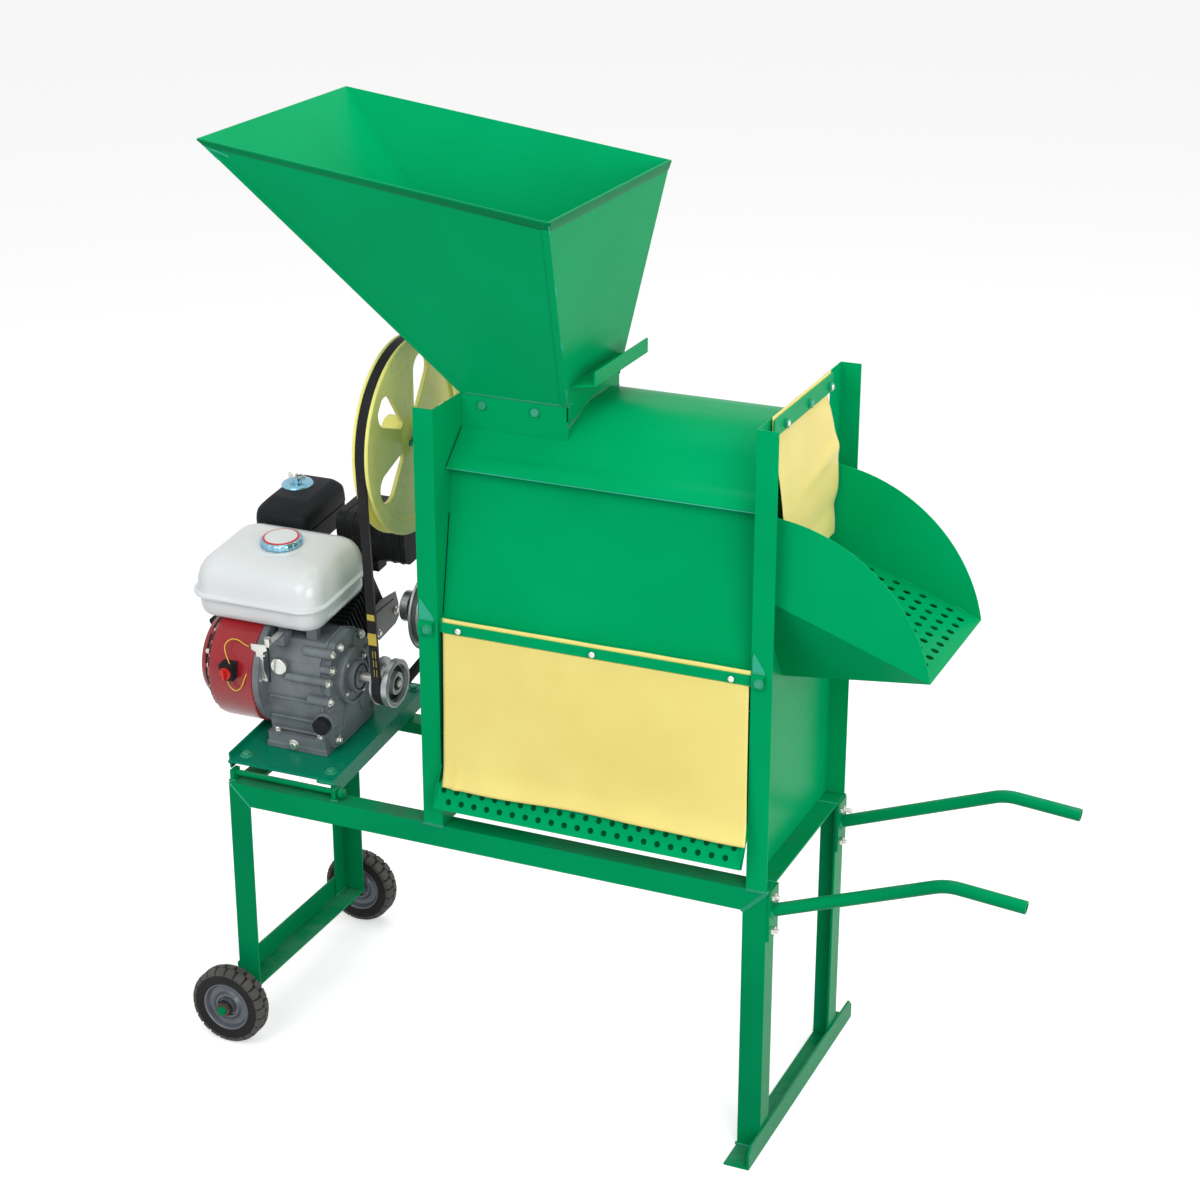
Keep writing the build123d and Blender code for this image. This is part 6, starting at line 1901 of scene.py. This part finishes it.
        far = (head(0, 1, 0) - head(0, 0, 0)).normalized()
        seats = [(head(x, 136, z), far) for x in (50, 120) for z in (-32, 32)]
        bolts("head_bolts", seats, ZINC, 10, 5, 8)
        side = [(head(132, 98, 8), RIGHT), (head(132, 62, -36), RIGHT)]
        bolts("cowl_bolts", side, ZINC, 10, 4, 9)
        outline = [(113.6, 182.2), (150, 186), (206.4, 175.9), (213, 150), (211, 124.4), (196, 116),
                   (135.3, 113), (120, 128), (116.5, 157)]
        shield = plate("shield", [deck(140, y, z) for y, z in outline], RIGHT * 1.6 * MM, SHIELD_OLIVE, 0.6)
        crease = plate(
            "crease", [deck(141.4, y, z) for y, z in ((128, 170), (196, 166), (200, 158), (130, 162))],
            RIGHT * 1.6 * MM, SHIELD_OLIVE, 0.7)
        posts = [lathe("post", deck(118, y, z), RIGHT, [(0, 0), (0, 5), (23, 5), (23, 0)], ENGINE_CAST, 16)
                 for y, z in ((140, 168), (188, 152))]
        placed(joined("heat_shield", [shield, crease] + posts), "exhaust_black")
        bolts("shield_bolts", [(deck(141.6, 200, 141), RIGHT), (deck(141.6, 134, 128), RIGHT)], ZINC, 9, 4, 7)
        seam = [[deck(x, *p) for p in self.muffler_ring(grow)]
                for x, grow in ((112, 0.4), (112.6, 2.6), (116.4, 2.6), (117, 0.4))]
        ribs = []
        for start in (60, 78, 134, 152, 168):
            ribs.append(loft("rib", [[deck(x, *p) for p in self.muffler_ring(grow)]
                                     for x, grow in ((start, 0.1), (start + 1.6, 1.5), (start + 4.4, 1.5),
                                                     (start + 6, 0.1))], EXHAUST_BLACK, 40))
        placed(joined("muffler_seam", [loft("seam", seam, EXHAUST_BLACK, 30)] + ribs), "exhaust_black")
        tail = lathe("muffler_tail", deck(182, 262, 262), RIGHT,
                     [(-2, 0), (-2, 14), (2.4, 14), (3, 12), (3, 9), (-1, 8.4), (-1, 0)], EXHAUST_BLACK, 28)
        placed(tail, "exhaust_black")

    def muffler_ring(self, grow: float) -> list[Pair]:
        """Give the muffler's outline across its length, grown by a number of millimetres."""
        ring = rounded(180 - grow, 290 + grow, 240 - grow, 326 + grow, 0, 20 + grow, 5)
        return [(y, z) for y, z, _ in ring]

    def deck_details(self) -> None:
        """Add the deck's bolts, its hinge pin's head and its welds."""
        seats = [(deck(x, y, 0.2), DECK_UP) for x in (12, 178) for y in (-128, 176)]
        bolts("deck_bolts", seats, GREEN_BOLT, 13, 6, 11, "frame", "green_frame")
        pin = lathe("pin_head", at(211, 19, 489), RIGHT, [(-3, 0), (-3, 9), (3.4, 9), (4.4, 7.6), (4.4, 0)],
                    GREEN_FRAME, 24)
        placed(pin, "green_frame")
        weld = Bead("deck_welds", WELD_GREEN, 6, 1.6)
        weld.run(deck(-10, -150, -4.6), deck(-10, -60, -4.6), -RIGHT)
        weld.run(deck(165, -152, -7), deck(195, -152, -7), DECK_NEAR)
        for x in (2, 200):
            weld.run(at(x - 4, 9, 477), at(x + 4, 9, 477), (NEAR + UP).normalized())
            weld.run(at(x - 4, 29, 477), at(x + 4, 29, 477), (-NEAR + UP).normalized())
        weld.build()


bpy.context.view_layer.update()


def main() -> None:
    """Build the studio and every sub-assembly in order."""
    logging.basicConfig(level=logging.INFO, format="%(message)s")
    Studio().build()
    for assembly in (Chassis(), Wheels(), Housing(), Outlets(), Drive(), Engine()):
        LOG.info("building %s", type(assembly).__name__)
        assembly.build()


if __name__ == "__main__":
    main()
